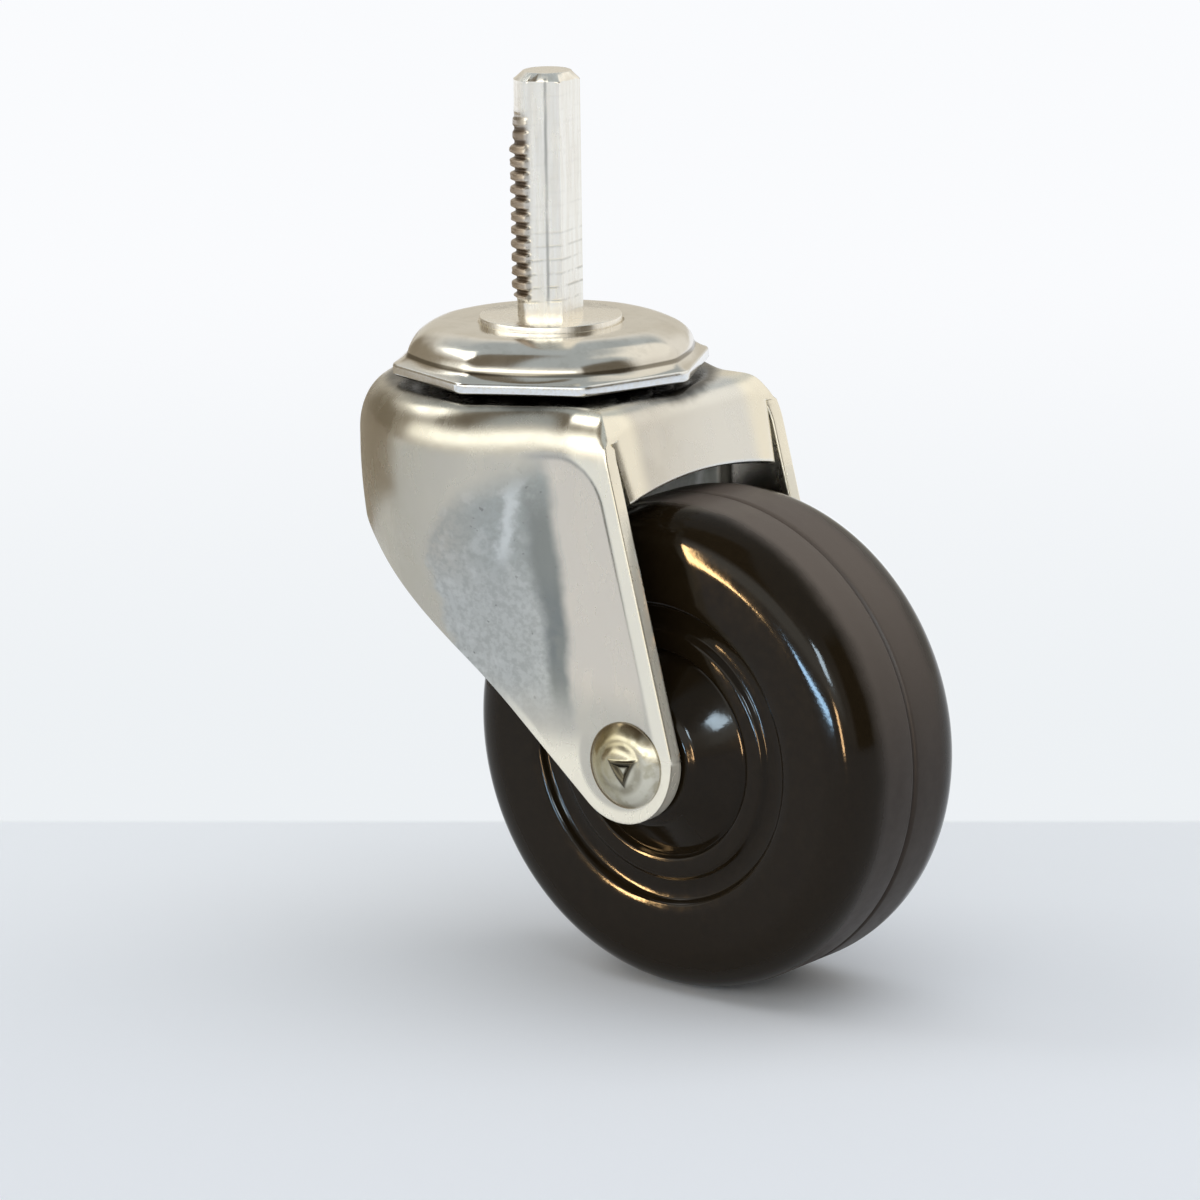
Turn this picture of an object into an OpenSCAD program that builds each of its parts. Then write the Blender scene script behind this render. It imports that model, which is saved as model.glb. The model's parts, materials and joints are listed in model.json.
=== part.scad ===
// Light swivel castor: a pressed fork on a double ball race, held by a threaded stem.
// Millimetres. The origin is on the swivel axis, in the plane of the stem's collar that
// seats against the furniture. +Z runs up the stem, +X towards the wheel, Y along the axle.

/* [Wheel] */
// Wheel diameter over the tread
wheel_d = 50.8; // [46:0.2:53]
// Width of the tread
tread_w = 19; // [17:0.5:21]
// Radius of the rounded tread shoulders
shoulder_r = 3.4; // [2:0.1:4.5]
// Width of the parting groove round the middle of the tread
groove_w = 0.6; // [0.3:0.1:1.2]
// Depth of the parting groove
groove_depth = 0.45; // [0.2:0.05:1]
// Radius of the outer edge of the moulded dish in each side
dish_r = 15.8; // [14.8:0.1:17.5]
// Radius of the inner edge of the raised ring round the hub
ring_r = 11; // [9.5:0.1:11.8]
// Depth of the dish below the side of the tread
dish_depth = 1; // [0.5:0.1:2]
// Radius of the hub's end face
hub_r = 6.4; // [5.4:0.1:8]
// Gap between each end of the hub and the leg
hub_play = 0.4; // [0.2:0.05:0.8]

/* [Axle] */
// Diameter of the axle rivet
axle_d = 6; // [5:0.1:6.6]
// Diameter of the axle tube that the wheel turns on
tube_d = 8; // [7.6:0.1:9]
// Diameter of the rivet's domed heads
rivet_head_d = 9; // [8:0.1:11]
// Height of the rivet's domed heads
rivet_head_h = 1.7; // [1:0.1:2.2]

/* [Fork] */
// Seat to the top of the wheel. With the wheel's diameter it makes the load height
wheel_drop = 16.3; // [14.5:0.1:18]
// Swivel axis to axle, measured level
trail = 20.8; // [18:0.1:23]
// Thickness of the fork's sheet
sheet_t = 1.8; // [1.4:0.1:2]
// Gap between the legs
leg_gap = 25.8; // [24.4:0.1:28]
// Diameter of the crown's round back
crown_d = 39.9; // [38:0.1:42]
// Radius of the rounded end of each leg
tip_r = 6.6; // [6:0.1:7.5]
// Height of the crown's wall at the back
skirt_h = 14.7; // [12:0.1:17]
// Radius of the bend between the crown and the front apron
bend_r = 3.4; // [2.8:0.1:4]
// How far the pressed shoulder comes in from the wall
shoulder_in = 3.6; // [3.2:0.1:4]
// How far the pressed shoulder reaches down the wall
shoulder_down = 5.3; // [4.6:0.1:5.6]
// Clear height between the front apron's corners and the top of the wheel
apron_gap = 0.98; // [0.6:0.02:1.8]
// Rise of the arch in the apron's lower edge
apron_arch = 1.3; // [0.4:0.1:2]

/* [Swivel bearing] */
// Diameter of the king pin below the collar
pin_d = 6.4; // [6:0.1:6.8]
// Diameter of the upper balls
upper_ball_d = 3.97; // [3.6:0.01:4.1]
// Number of upper balls
upper_balls = 14; // [8:1:14]
// Diameter of the lower balls
lower_ball_d = 3.17; // [2.9:0.01:3.2]
// Number of lower balls
lower_balls = 9; // [6:1:9]
// Play between a ball and each of its races
ball_play = 0.06; // [0.04:0.01:0.1]

/* [Cap] */
// Octagonal flange of the cap, across flats
cap_flats = 31; // [30.8:0.1:33]
// Thickness of the cap's sheet
cap_t = 1.2; // [1:0.05:1.4]
// Height of the cap's dome above its flange
dome_h = 3.7; // [3.5:0.1:3.9]
// Radius of the flat top of the dome
dome_flat_r = 10.5; // [9.9:0.1:10.6]
// Radius of the dome's rounded shoulder
dome_r = 4.2; // [4:0.05:4.3]

/* [Stem] */
// Length of the stem above the collar
stem_l = 25.4; // [20:0.1:40]
// Diameter of the stem over its flats' corners
stem_d = 6.88; // [6.5:0.02:7.2]
// Diameter over the crests of the rolled thread
thread_d = 7.9; // [7.6:0.02:8.1]
// Pitch of the thread
thread_pitch = 1.411; // [1:0.001:1.6]
// Number of thread turns rolled into the stem
thread_turns = 11; // [6:1:12]
// Height where the thread starts above the collar
thread_start = 2; // [1:0.1:3]
// Chamfer round the top of the stem
stem_chamfer = 1; // [0.4:0.1:1.4]
// Diameter of the collar under the seat
collar_d = 14.8; // [13:0.1:15]
// Thickness of the collar
collar_t = 0.9; // [0.7:0.05:1.2]
// How far the collar stands above the cap
collar_proud = 0.6; // [0.3:0.05:0.7]

/* [Hidden] */
$fn = 64;

upper_names = [for (i = [1:upper_balls]) str("upper_ball_", i)];
lower_names = [for (i = [1:lower_balls]) str("lower_ball_", i)];

steel = "#b9b3a8";
bright_steel = "#d8d3c6";
dark_rubber = "#2a2522";
ball_steel = "#9a9a9c";

slip = 0.02;
running = 0.08;
cut = 1;

wheel_r = wheel_d / 2;
axle_z = -wheel_drop - wheel_r;
axle_r = axle_d / 2;
tube_r = tube_d / 2;
pin_r = pin_d / 2;

// Distance from the stem's axis to each flat, as a share of its radius.
flat_share = 0.86;

// Cap: a convex arc at the shoulder of the dome runs into a concave arc at the flange.
cap_corner = 5.3;
dome_slope = 78;
cap_top = -collar_proud;
flange_top = cap_top - dome_h;
flange_low = flange_top - cap_t;
collar_r = collar_d / 2;
recess_gap = 0.1;
recess_r = collar_r + recess_gap;
recess_wall = 0.6;
recess_z = -collar_t;
dome_c = [dome_flat_r, cap_top - dome_r];
foot_r = (dome_c[1] + dome_r * cos(dome_slope) - flange_top) / (1 - cos(dome_slope));
foot_c = dome_c + (dome_r + foot_r) * [sin(dome_slope), cos(dome_slope)];

// Upper race: the balls bear up and out on the dome's inside, down and in on the crown.
race_open = 0.22;
race_land = 2.6;
upper_r = upper_ball_d / 2;
upper_c = dome_c + (dome_r - cap_t - upper_r - ball_play) * [cos(45), sin(45)];
race_r = upper_r + race_open;
race_c = upper_c + (race_r - upper_r - ball_play) * [cos(45), sin(45)];
crown_z = race_c[1] - race_r;

// Crown boss round the king pin, and the lower race in its hollow underside.
boss_rise = 0.44;
boss_h = race_r + boss_rise;
boss_z = crown_z + boss_h;
race_out_r = race_c[0] + race_land;
lower_r = lower_ball_d / 2;
pin_gap = 0.3;
lower_c = [pin_r + lower_r + pin_gap, boss_z - sheet_t - lower_r - ball_play];
cup_open = 0.12;
cup_lip = 0.4;
cup_t = 1.2;
cup_rim_drop = 0.6;
cup_inner_drop = 0.8;
cup_groove_r = lower_r + cup_open;
cup_groove_z = lower_c[1] - lower_r - ball_play + cup_groove_r;
cup_r = lower_c[0] + lower_r + cup_lip;
cup_rim_z = lower_c[1] - cup_rim_drop * lower_r;
cup_low = cup_groove_z - cup_groove_r - cup_t;
peen_lip = 1.5;
peen_taper = 0.9;
peen_h = 1.4;
peen_r = pin_r + peen_lip;

// Fork: its side view is drawn in (s, z). In front of the swivel axis s is x. Behind it,
// s runs back round the crown, so that a flat outline wraps on to the drawn shell.
crown_r = crown_d / 2;
leg_y = leg_gap / 2 + sheet_t;
tip_back = 0.8;
tip_up = 0.3;
tip_c = [trail - tip_back, axle_z + tip_up];
front_back = 0.4;
bend_x = 15.43;
front_c = [bend_x - front_back, crown_z - bend_r];
bulge_reach = 15.4;
bulge_blend = 4;
bulge_start = 7.2;
bulge_top = crown_z - bulge_start;
bulge_drop = 25;
apron_h = wheel_drop + crown_z - apron_gap;
skirt_z = crown_z - skirt_h;
rear_share = 0.727;
rear_s = -rear_share * crown_r;
rear_blend = 3;
back_s = -crown_r * PI / 2;

// The front edge is the line that touches the bend and the tip on their front sides.
front_run = tip_c - front_c;
front_turn = atan2(front_run[1], front_run[0]) + acos((bend_r - tip_r) / norm(front_run));
front_dir = [cos(front_turn), sin(front_turn)];
front_top = front_c + bend_r * front_dir;
front_low = tip_c + tip_r * front_dir;

// The rear edge leaves the skirt and touches the tip from below.
rear_run = tip_c - [rear_s, skirt_z];
rear_slope = atan2(rear_run[1], rear_run[0]) - asin(tip_r / norm(rear_run));
rear_turn = rear_slope - 90;
rear_low = tip_c + tip_r * [cos(rear_turn), sin(rear_turn)];

tip_steps = 10;
rear_steps = 11;
back_steps = 5;
shoulder_steps = 5;
wall_steps = 7;
bend_steps = 8;
arch_steps = 12;
mid_top_s = 10.5;

function mix(a, b, t) = a + (b - a) * t;
function soft_max(a, b, k) =
    let (h = max(k - abs(a - b), 0) / k)
    max(a, b) + h * h * k / 4;
function ease(t) =
    let (k = min(1, max(0, t)))
    k * k * (3 - 2 * k);

// Front edge of the leg at height z: round the bend, then straight down to the tip.
function front_s(z) = z > front_top[1]
    ? front_c[0] + sqrt(max(0, bend_r * bend_r - pow(z - front_c[1], 2)))
    : mix(front_top[0], front_low[0], (front_top[1] - z) / (front_top[1] - front_low[1]));
function rear_z(s) =
    -soft_max(-skirt_z, -(skirt_z + (s - rear_s) * tan(rear_slope)), rear_blend);

// How far the shoulder comes in at height z, and how much of the crown's bulge is left.
function inset(z) =
    let (q = max(0, (z - crown_z) / shoulder_down + 1))
    shoulder_in * (1 - sqrt(max(0, 1 - q * q)));
function bulge_left(z) = 1 - ease((bulge_top - z) / bulge_drop);

// Outer surface of the drawn shell on the near side, y < 0.
function shell(s, z) =
    let (
        d = inset(z),
        r = crown_r - d,
        flat = leg_y - d,
        round_y = r * sqrt(max(0, 1 - pow(max(0, s) / bulge_reach, 2))),
        y = flat + bulge_left(z) * soft_max(0, round_y - flat, bulge_blend),
        turn = -s / crown_r * 180 / PI
    )
    s > 0 ? [s, -y, z] : [-r * sin(turn), -y * cos(turn), z];
function shell_out(s, z) =
    let (
        e = 0.05,
        along = shell(s + e, z) - shell(s - e, z),
        down = shell(s, z - e) - shell(s, z + e),
        n = cross(down, along)
    )
    n / norm(n);

// Each column runs from the crown's edge to the lower outline: [top s, low s, low z, bend].
columns = concat(
    [for (i = [0:tip_steps])
        let (
            a = mix(front_turn, rear_turn, i / tip_steps),
            p = tip_c + tip_r * [cos(a), sin(a)]
        )
        [mix(front_c[0], mid_top_s, i / tip_steps), p[0], p[1], pow(1 - i / tip_steps, 2)]],
    [for (i = [1:rear_steps])
        let (s = mix(rear_low[0], rear_s, i / rear_steps))
        [mix(mid_top_s, rear_s, i / rear_steps), s, rear_z(s), 0]],
    [for (i = [1:back_steps])
        let (s = mix(rear_s, back_s, i / back_steps))
        [s, s, rear_z(s), 0]]);
rows = shoulder_steps + wall_steps;

function row_z(low_z, i) = i <= shoulder_steps
    ? crown_z - shoulder_down * (1 - cos(90 * i / shoulder_steps))
    : mix(crown_z - shoulder_down, low_z, (i - shoulder_steps) / wall_steps);
function straight_s(c, z) = mix(c[0], c[1], (crown_z - z) / (crown_z - c[2]));
function column_s(c, z) =
    straight_s(c, z) + c[3] * (front_s(z) - straight_s(columns[0], z));

function outer_point(c, i) =
    let (z = row_z(c[2], i))
    shell(column_s(c, z), z);
function inner_point(c, i) =
    let (
        z = row_z(c[2], i),
        s = column_s(c, z),
        out = i == 0 ? [0, 0, 1] : shell_out(s, z)
    )
    shell(s, z) - sheet_t * out;
function far(p) = [p[0], -p[1], p[2]];

function skin(inner) = concat(
    [for (c = columns) for (i = [0:rows]) inner ? inner_point(c, i) : outer_point(c, i)],
    [for (k = [len(columns) - 2:-1:0]) for (i = [0:rows])
        far(inner ? inner_point(columns[k], i) : outer_point(columns[k], i))]);

function shell_faces(n, v) =
    let (
        o = function(j, i) j * (v + 1) + i,
        q = function(j, i) (n + j) * (v + 1) + i,
        last = n - 1,
        top_mid = 2 * n * (v + 1),
        low_mid = top_mid + 1
    )
    concat(
        [for (j = [0:n - 2]) for (i = [0:v - 1]) each [
            [o(j, i), o(j, i + 1), o(j + 1, i + 1)],
            [o(j, i), o(j + 1, i + 1), o(j + 1, i)],
            [q(j, i), q(j + 1, i + 1), q(j, i + 1)],
            [q(j, i), q(j + 1, i), q(j + 1, i + 1)]]],
        [for (i = [0:v - 1]) each [
            [o(0, i), q(0, i), q(0, i + 1)],
            [o(0, i), q(0, i + 1), o(0, i + 1)],
            [o(last, i), q(last, i + 1), q(last, i)],
            [o(last, i), o(last, i + 1), q(last, i + 1)]]],
        [for (j = [0:n - 2]) each [
            [o(j + 1, v), o(j, v), q(j, v)],
            [o(j + 1, v), q(j, v), q(j + 1, v)]]],
        [for (j = [0:last - 1]) [top_mid, o(j, 0), o(j + 1, 0)]],
        [[top_mid, o(last, 0), o(0, 0)]],
        [for (j = [0:last - 1]) [low_mid, q(j + 1, 0), q(j, 0)]],
        [[low_mid, q(0, 0), q(last, 0)]],
        [[q(0, 0), o(0, 0), o(last, 0), q(last, 0)]]);

// Drawn shell of the fork: crown, round back and both legs in one sheet.
module fork_shell() {
    polyhedron(
        points = concat(skin(false), skin(true), [[0, 0, crown_z], [0, 0, crown_z - sheet_t]]),
        faces = shell_faces(2 * len(columns) - 1, rows),
        convexity = 8);
}

// Crown section round the king pin, with the upper race on top and the hollow below.
module crown_race() {
    low = crown_z - sheet_t;
    bore_r = pin_r + running;
    rotate_extrude()
    difference() {
        translate([bore_r, low]) square([race_out_r - bore_r, sheet_t + boss_h]);
        translate([race_c[0], crown_z]) square([race_out_r, boss_h + cut]);
        translate(race_c) circle(race_r);
        difference() {
            translate([0, low - cut]) square([race_c[0], boss_h + cut]);
            translate(race_c) circle(race_r + sheet_t);
        }
    }
}

// Front apron: the sheet turned down between the legs, with a relief slit at each side.
module apron() {
    slit = 0.9;
    slit_start = 3;
    lap = 1;
    slit_z = crown_z - slit_start;
    low_z = crown_z - apron_h;
    side_y = leg_gap / 2;
    low_y = side_y - slit;
    shoulder = [for (i = [0:shoulder_steps])
        let (z = row_z(crown_z, i))
        if (z > slit_z) [leg_y - inset(z), z]];
    half = concat(shoulder, [[side_y, slit_z], [low_y, low_z]]);
    intersection() {
        rotate([90, 0, 0])
        translate([0, 0, -leg_y])
        linear_extrude(2 * leg_y)
        apron_side(race_out_r - lap);
        rotate([90, 0, 90])
        linear_extrude(trail + tip_r)
        polygon(concat(
            half,
            apron_edge(low_y, low_z),
            [for (i = [len(half) - 1:-1:0]) [-half[i][0], half[i][1]]]));
    }
}

// Side view of the apron's sheet: off the crown, round the bend and down.
module apron_side(start_x) {
    drop = apron_h + cut;
    c = front_c + [front_back, 0];
    lean = [sin(front_turn), -cos(front_turn)];
    low = c + bend_r * front_dir + drop * lean;
    polygon(concat(
        [[start_x, crown_z]],
        bend_arc(c, bend_r),
        [low, low - sheet_t * front_dir],
        turned(bend_arc(c, bend_r - sheet_t)),
        [[start_x, crown_z - sheet_t]]));
}

function bend_arc(c, r) =
    [for (i = [0:bend_steps])
        let (a = (90 - front_turn) * i / bend_steps)
        c + r * [sin(a), cos(a)]];
function turned(list) = [for (i = [len(list) - 1:-1:0]) list[i]];

// Arched lower edge of the apron, from +Y to -Y.
function apron_edge(low_y, low_z) =
    let (r = (low_y * low_y + apron_arch * apron_arch) / (2 * apron_arch))
    [for (i = [arch_steps - 1:-1:1 - arch_steps])
        let (y = low_y * i / arch_steps)
        [y, low_z + apron_arch - r + sqrt(r * r - y * y)]];

module fork() {
    color(steel)
    difference() {
        union() {
            difference() {
                fork_shell();
                translate([0, 0, crown_z - sheet_t - cut])
                cylinder(r = race_out_r, h = sheet_t + 2 * cut);
            }
            crown_race();
            apron();
        }
        translate([trail, leg_y + cut, axle_z])
        rotate([90, 0, 0]) cylinder(r = axle_r + slip, h = 2 * (leg_y + cut));
    }
}

// Stem, collar and king pin are one turned piece, with its lower end peened over.
module stem() {
    color(bright_steel)
    difference() {
        union() {
            linear_extrude(stem_l) stem_section();
            translate([0, 0, -collar_t]) cylinder(r = collar_r, h = collar_t);
            translate([0, 0, cup_low]) cylinder(r = pin_r, h = -collar_t - cup_low);
            translate([0, 0, cup_low - peen_h])
            cylinder(r1 = peen_r - peen_taper, r2 = peen_r, h = peen_h);
            thread_ridges();
        }
        stem_end();
    }
}

// Ring cut away by the chamfer round the top of the stem.
module stem_end() {
    r = stem_d / 2;
    rotate_extrude()
    polygon([
        [r, stem_l - stem_chamfer],
        [r + cut, stem_l - stem_chamfer],
        [r + cut, stem_l + cut],
        [r - stem_chamfer, stem_l + cut],
        [r - stem_chamfer, stem_l]]);
}

// Three flats face the front of the castor. The back half stays round and is threaded.
module stem_section() {
    r = stem_d / 2;
    difference() {
        circle(r);
        for (turn = [-60, 0, 60])
            rotate(turn)
            translate([flat_share * r, -stem_d])
            square(2 * stem_d);
    }
}

// Each half turn of the rolled thread is a tilted half ring, so its ends lie on the helix.
module thread_ridges() {
    sink = 0.3;
    root = stem_d / 2 - sink;
    crest = thread_d / 2;
    base = 0.44 * thread_pitch;
    tip = 0.07 * thread_pitch;
    tilt = asin(thread_pitch / (2 * thread_d));
    for (k = [0:thread_turns - 1])
        translate([0, 0, thread_start + (k + 0.5) * thread_pitch])
        rotate([-tilt, 0, 0])
        rotate(90)
        rotate_extrude(angle = 180)
        polygon([[root, -base], [crest, -tip], [crest, tip], [root, base]]);
}

// Pressed cap with an octagonal flange. Its dome is the upper balls' outer race.
module top_cap() {
    color(steel)
    difference() {
        union() {
            rotate_extrude() cap_section();
            difference() {
                translate([0, 0, flange_low])
                rotate(cap_corner)
                cylinder(r = cap_flats / 2 / cos(22.5), h = cap_t, $fn = 8);
                translate([0, 0, flange_low - cut]) cylinder(r = foot_c[0], h = cap_t + 2 * cut);
            }
        }
        translate([0, 0, flange_low - cut])
        cylinder(r = pin_r + slip, h = cap_top - flange_low + 2 * cut);
    }
}

module cap_section() {
    difference() {
        dome_profile(dome_r, foot_r, cap_top, flange_low);
        translate([0, recess_z]) square([recess_r, dome_h]);
        difference() {
            translate([0, -cap_t])
            dome_profile(dome_r - cap_t, foot_r + cap_t, cap_top, flange_low - cut, cap_t);
            translate([0, recess_z - cap_t]) square([recess_r + recess_wall, dome_h]);
        }
    }
}

// Area under the dome: flat top, convex shoulder, then a concave foot out to the flange.
module dome_profile(shoulder, foot, top, low, shift = 0) {
    a = dome_c + [0, shift];
    f = foot_c + [0, shift];
    touch = a + shoulder * [sin(dome_slope), cos(dome_slope)];
    difference() {
        union() {
            translate([0, low]) square([a[0], top - low]);
            intersection() {
                translate(a) circle(shoulder);
                translate([0, low]) square([foot_c[0], top - low]);
            }
            polygon([a, touch, [f[0], f[1] - foot], [f[0], low], [a[0], low]]);
        }
        translate(f) circle(foot);
    }
}

// Pressed cup under the lower balls, held up by the king pin's peened end.
module lower_race_cup() {
    color(steel)
    rotate_extrude()
    difference() {
        translate([pin_r + slip, cup_low]) square([cup_r - pin_r - slip, cup_rim_z - cup_low]);
        translate([lower_c[0], cup_groove_z]) circle(cup_groove_r);
        translate([0, lower_c[1] - cup_inner_drop * lower_r])
        square([lower_c[0], 2 * lower_r]);
    }
}

module ball_at(c, r, i, count) {
    color(ball_steel)
    rotate(360 * i / count)
    translate([c[0], 0, c[1]]) sphere(r);
}

// Axle rivet with a domed head on each leg and a peening mark in the near one.
module axle_rivet() {
    head_r = rivet_head_d / 2;
    ball_r = (head_r * head_r + rivet_head_h * rivet_head_h) / (2 * rivet_head_h);
    seat_y = leg_y + slip;
    mark_r = 0.85;
    mark_depth = 0.5;
    mark_turn = 20;
    color(bright_steel)
    translate([trail, 0, axle_z])
    difference() {
        union() {
            rotate([90, 0, 0]) cylinder(r = axle_r, h = 2 * seat_y, center = true);
            for (side = [-1, 1])
                intersection() {
                    translate([0, side * (seat_y + rivet_head_h - ball_r), 0]) sphere(ball_r);
                    translate([0, side * (seat_y + rivet_head_h / 2), 0])
                    cube([rivet_head_d + cut, rivet_head_h, rivet_head_d + cut], center = true);
                }
        }
        translate([0, -seat_y - rivet_head_h + mark_depth, 0])
        rotate([90, mark_turn, 0])
        cylinder(r = mark_r, h = mark_depth + cut, $fn = 3);
    }
}

module axle_tube() {
    length = leg_gap - 2 * slip;
    color(steel)
    translate([trail, 0, axle_z])
    rotate([90, 0, 0])
    difference() {
        cylinder(r = tube_r, h = length, center = true);
        cylinder(r = axle_r + slip, h = length + cut, center = true);
    }
}

// Moulded solid wheel: round shoulders, parting groove, dished sides and conical hubs.
module wheel() {
    color(dark_rubber)
    translate([trail, 0, axle_z])
    rotate([90, 0, 0])
    rotate_extrude()
    wheel_section();
}

module wheel_section() {
    half = tread_w / 2;
    hub_half = leg_gap / 2 - hub_play;
    bore_r = tube_r + running;
    dish_y = half - dish_depth;
    lip = 0.45;
    ring_low = 0.3;
    edge_low = 0.1;
    ring_out = (ring_r + dish_r) / 2;
    core_r = wheel_r - shoulder_r;
    side = [
        [bore_r, hub_half],
        [hub_r, hub_half],
        [ring_r - lip, dish_y],
        [ring_r, half - ring_low],
        [ring_out - lip, half - ring_low],
        [ring_out, dish_y],
        [dish_r - lip, dish_y],
        [dish_r, half - edge_low],
        [core_r, half],
        [wheel_r, half]];
    difference() {
        polygon(concat(side, [for (i = [len(side) - 1:-1:0]) [side[i][0], -side[i][1]]]));
        for (m = [0, 1])
            mirror([0, m])
            difference() {
                translate([core_r, half - shoulder_r]) square(shoulder_r + cut);
                translate([core_r, half - shoulder_r]) circle(shoulder_r);
            }
        translate([wheel_r, 0])
        polygon([
            [-groove_depth, 0],
            [cut, -groove_w * (0.5 + cut)],
            [cut, groove_w * (0.5 + cut)]]);
    }
}

stem();
top_cap();
fork();
lower_race_cup();
axle_rivet();
axle_tube();
wheel();
for (i = [1:upper_balls])
    ball_at(upper_c, upper_r, i, upper_balls);
for (i = [1:lower_balls])
    ball_at(lower_c, lower_r, i, lower_balls);
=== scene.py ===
"""Stem castor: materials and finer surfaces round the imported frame, at the photograph's angle."""

import json
import math

import bpy
import numpy as np
from mathutils import Matrix, Vector

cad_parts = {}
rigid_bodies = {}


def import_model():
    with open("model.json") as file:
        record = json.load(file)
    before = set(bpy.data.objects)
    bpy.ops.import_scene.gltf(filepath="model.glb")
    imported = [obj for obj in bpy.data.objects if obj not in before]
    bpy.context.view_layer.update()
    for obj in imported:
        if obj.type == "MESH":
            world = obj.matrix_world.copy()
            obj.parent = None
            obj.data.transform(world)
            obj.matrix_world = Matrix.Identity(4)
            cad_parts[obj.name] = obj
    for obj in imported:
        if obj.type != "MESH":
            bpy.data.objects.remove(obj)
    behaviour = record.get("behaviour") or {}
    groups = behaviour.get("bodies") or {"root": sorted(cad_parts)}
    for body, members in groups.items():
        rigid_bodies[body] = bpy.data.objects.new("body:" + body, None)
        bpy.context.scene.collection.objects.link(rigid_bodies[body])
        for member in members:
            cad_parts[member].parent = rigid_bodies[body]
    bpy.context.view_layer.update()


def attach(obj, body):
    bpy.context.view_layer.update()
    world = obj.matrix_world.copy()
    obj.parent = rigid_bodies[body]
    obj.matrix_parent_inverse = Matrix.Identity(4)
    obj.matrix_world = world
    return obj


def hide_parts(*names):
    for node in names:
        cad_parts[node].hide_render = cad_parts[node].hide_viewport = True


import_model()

MM = 0.001
PER_METRE = 1000.0

# Sizes of the object in millimetres, as the CAD source has them.
WHEEL_R, TREAD_W = 25.4, 19.0
TRAIL, AXLE_Z = 20.8, -16.3 - 25.4
DISH_R, RING_R, DISH_DEPTH, HUB_R, HUB_PLAY = 15.8, 11.0, 1.0, 6.4, 0.4
TUBE_R, RUNNING = 4.0, 0.08
SHEET, LEG_GAP, CROWN_R, TIP_R = 1.8, 25.8, 19.95, 6.6
SKIRT_H, BEND_R, SHOULDER_IN, SHOULDER_DOWN = 14.7, 3.4, 3.6, 5.3
APRON_H, APRON_ARCH = 9.1, 1.3
PIN_R, UPPER_R, LOWER_R, BALL_PLAY = 3.2, 1.985, 1.585, 0.06
CAP_FLATS, CAP_T, DOME_H, DOME_FLAT_R, DOME_R = 31.0, 1.2, 3.7, 10.5, 4.2
CAP_TURN, FLARE_H = 5.3, 0.9
STEM_L, STEM_R, THREAD_R, PITCH, THREAD_START = 25.4, 3.44, 3.95, 1.411, 2.0
COLLAR_R, COLLAR_T, COLLAR_PROUD = 7.4, 0.9, 0.6
FLAT_SHARE, FLAT_TURNS = 0.86, (-60, 0, 60)
RIVET_R, RIVET_H, AXLE_R = 4.5, 1.7, 3.0
# The punched mark in the near rivet head: its place beside the axle and its three sides' turns.
MARK_X, MARK_Z, MARK_TURNS = 0.75, 0.05, (95, 215, 335)

CAP_TOP = -COLLAR_PROUD
FLANGE_TOP = CAP_TOP - DOME_H
FLANGE_LOW = FLANGE_TOP - CAP_T
DOME_SLOPE = math.radians(78)
DOME_C = np.array([DOME_FLAT_R, CAP_TOP - DOME_R])
FOOT_R = (DOME_C[1] + DOME_R * math.cos(DOME_SLOPE) - FLANGE_TOP) / (1 - math.cos(DOME_SLOPE))
FOOT_C = DOME_C + (DOME_R + FOOT_R) * np.array([math.sin(DOME_SLOPE), math.cos(DOME_SLOPE)])
DIAGONAL = math.sqrt(0.5)
UPPER_C = DOME_C + (DOME_R - CAP_T - UPPER_R - BALL_PLAY) * DIAGONAL
RACE_R = UPPER_R + 0.22
RACE_C = UPPER_C + (RACE_R - UPPER_R - BALL_PLAY) * DIAGONAL
CROWN_Z = RACE_C[1] - RACE_R
BOSS_Z = CROWN_Z + RACE_R + 0.44
RACE_OUT = RACE_C[0] + 2.6
LOWER_Z = BOSS_Z - SHEET - LOWER_R - BALL_PLAY
CUP_LOW = LOWER_Z - LOWER_R - BALL_PLAY - 1.2
PEEN_R, PEEN_H = PIN_R + 1.5, 1.4

LEG_Y = LEG_GAP / 2 + SHEET
TIP_C = np.array([TRAIL - 0.8, AXLE_Z + 0.3])
FRONT_C = np.array([15.03, CROWN_Z - BEND_R])
BULGE_REACH, BULGE_BLEND, BULGE_DROP = 15.4, 4.0, 25.0
BULGE_TOP = CROWN_Z - 7.2
SKIRT_Z = CROWN_Z - SKIRT_H
REAR_S = -0.727 * CROWN_R
BACK_S = -CROWN_R * math.pi / 2
run = TIP_C - FRONT_C
FRONT_TURN = math.atan2(run[1], run[0]) + math.acos((BEND_R - TIP_R) / np.hypot(*run))
FRONT_DIR = np.array([math.cos(FRONT_TURN), math.sin(FRONT_TURN)])
FRONT_TOP = FRONT_C + BEND_R * FRONT_DIR
FRONT_LOW = TIP_C + TIP_R * FRONT_DIR
run = TIP_C - np.array([REAR_S, SKIRT_Z])
REAR_SLOPE = math.atan2(run[1], run[0]) - math.asin(TIP_R / np.hypot(*run))
REAR_TURN = REAR_SLOPE - math.pi / 2
REAR_LOW = TIP_C + TIP_R * np.array([math.cos(REAR_TURN), math.sin(REAR_TURN)])
MID_TOP_S = 10.5
SLIT_Z = CROWN_Z - 3.0
# The leg's sunk panel: width of the rim in front of it, its top, and the round of its corner.
PANEL_RIM, PANEL_TOP, PANEL_ROUND = 1.55, CROWN_Z - 4.36, 4.6


def mix(a, b, t):
    return a + (b - a) * t


def ease(x, low=0.0, high=1.0):
    k = np.clip((np.asarray(x, float) - low) / (high - low), 0, 1)
    return k * k * (3 - 2 * k)


def soft_max(a, b, k):
    """A maximum whose corner is rounded over k."""
    h = np.maximum(k - np.abs(a - b), 0) / k
    return np.maximum(a, b) + h * h * k / 4


# ---------------------------------------------------------------- mesh helpers


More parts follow.
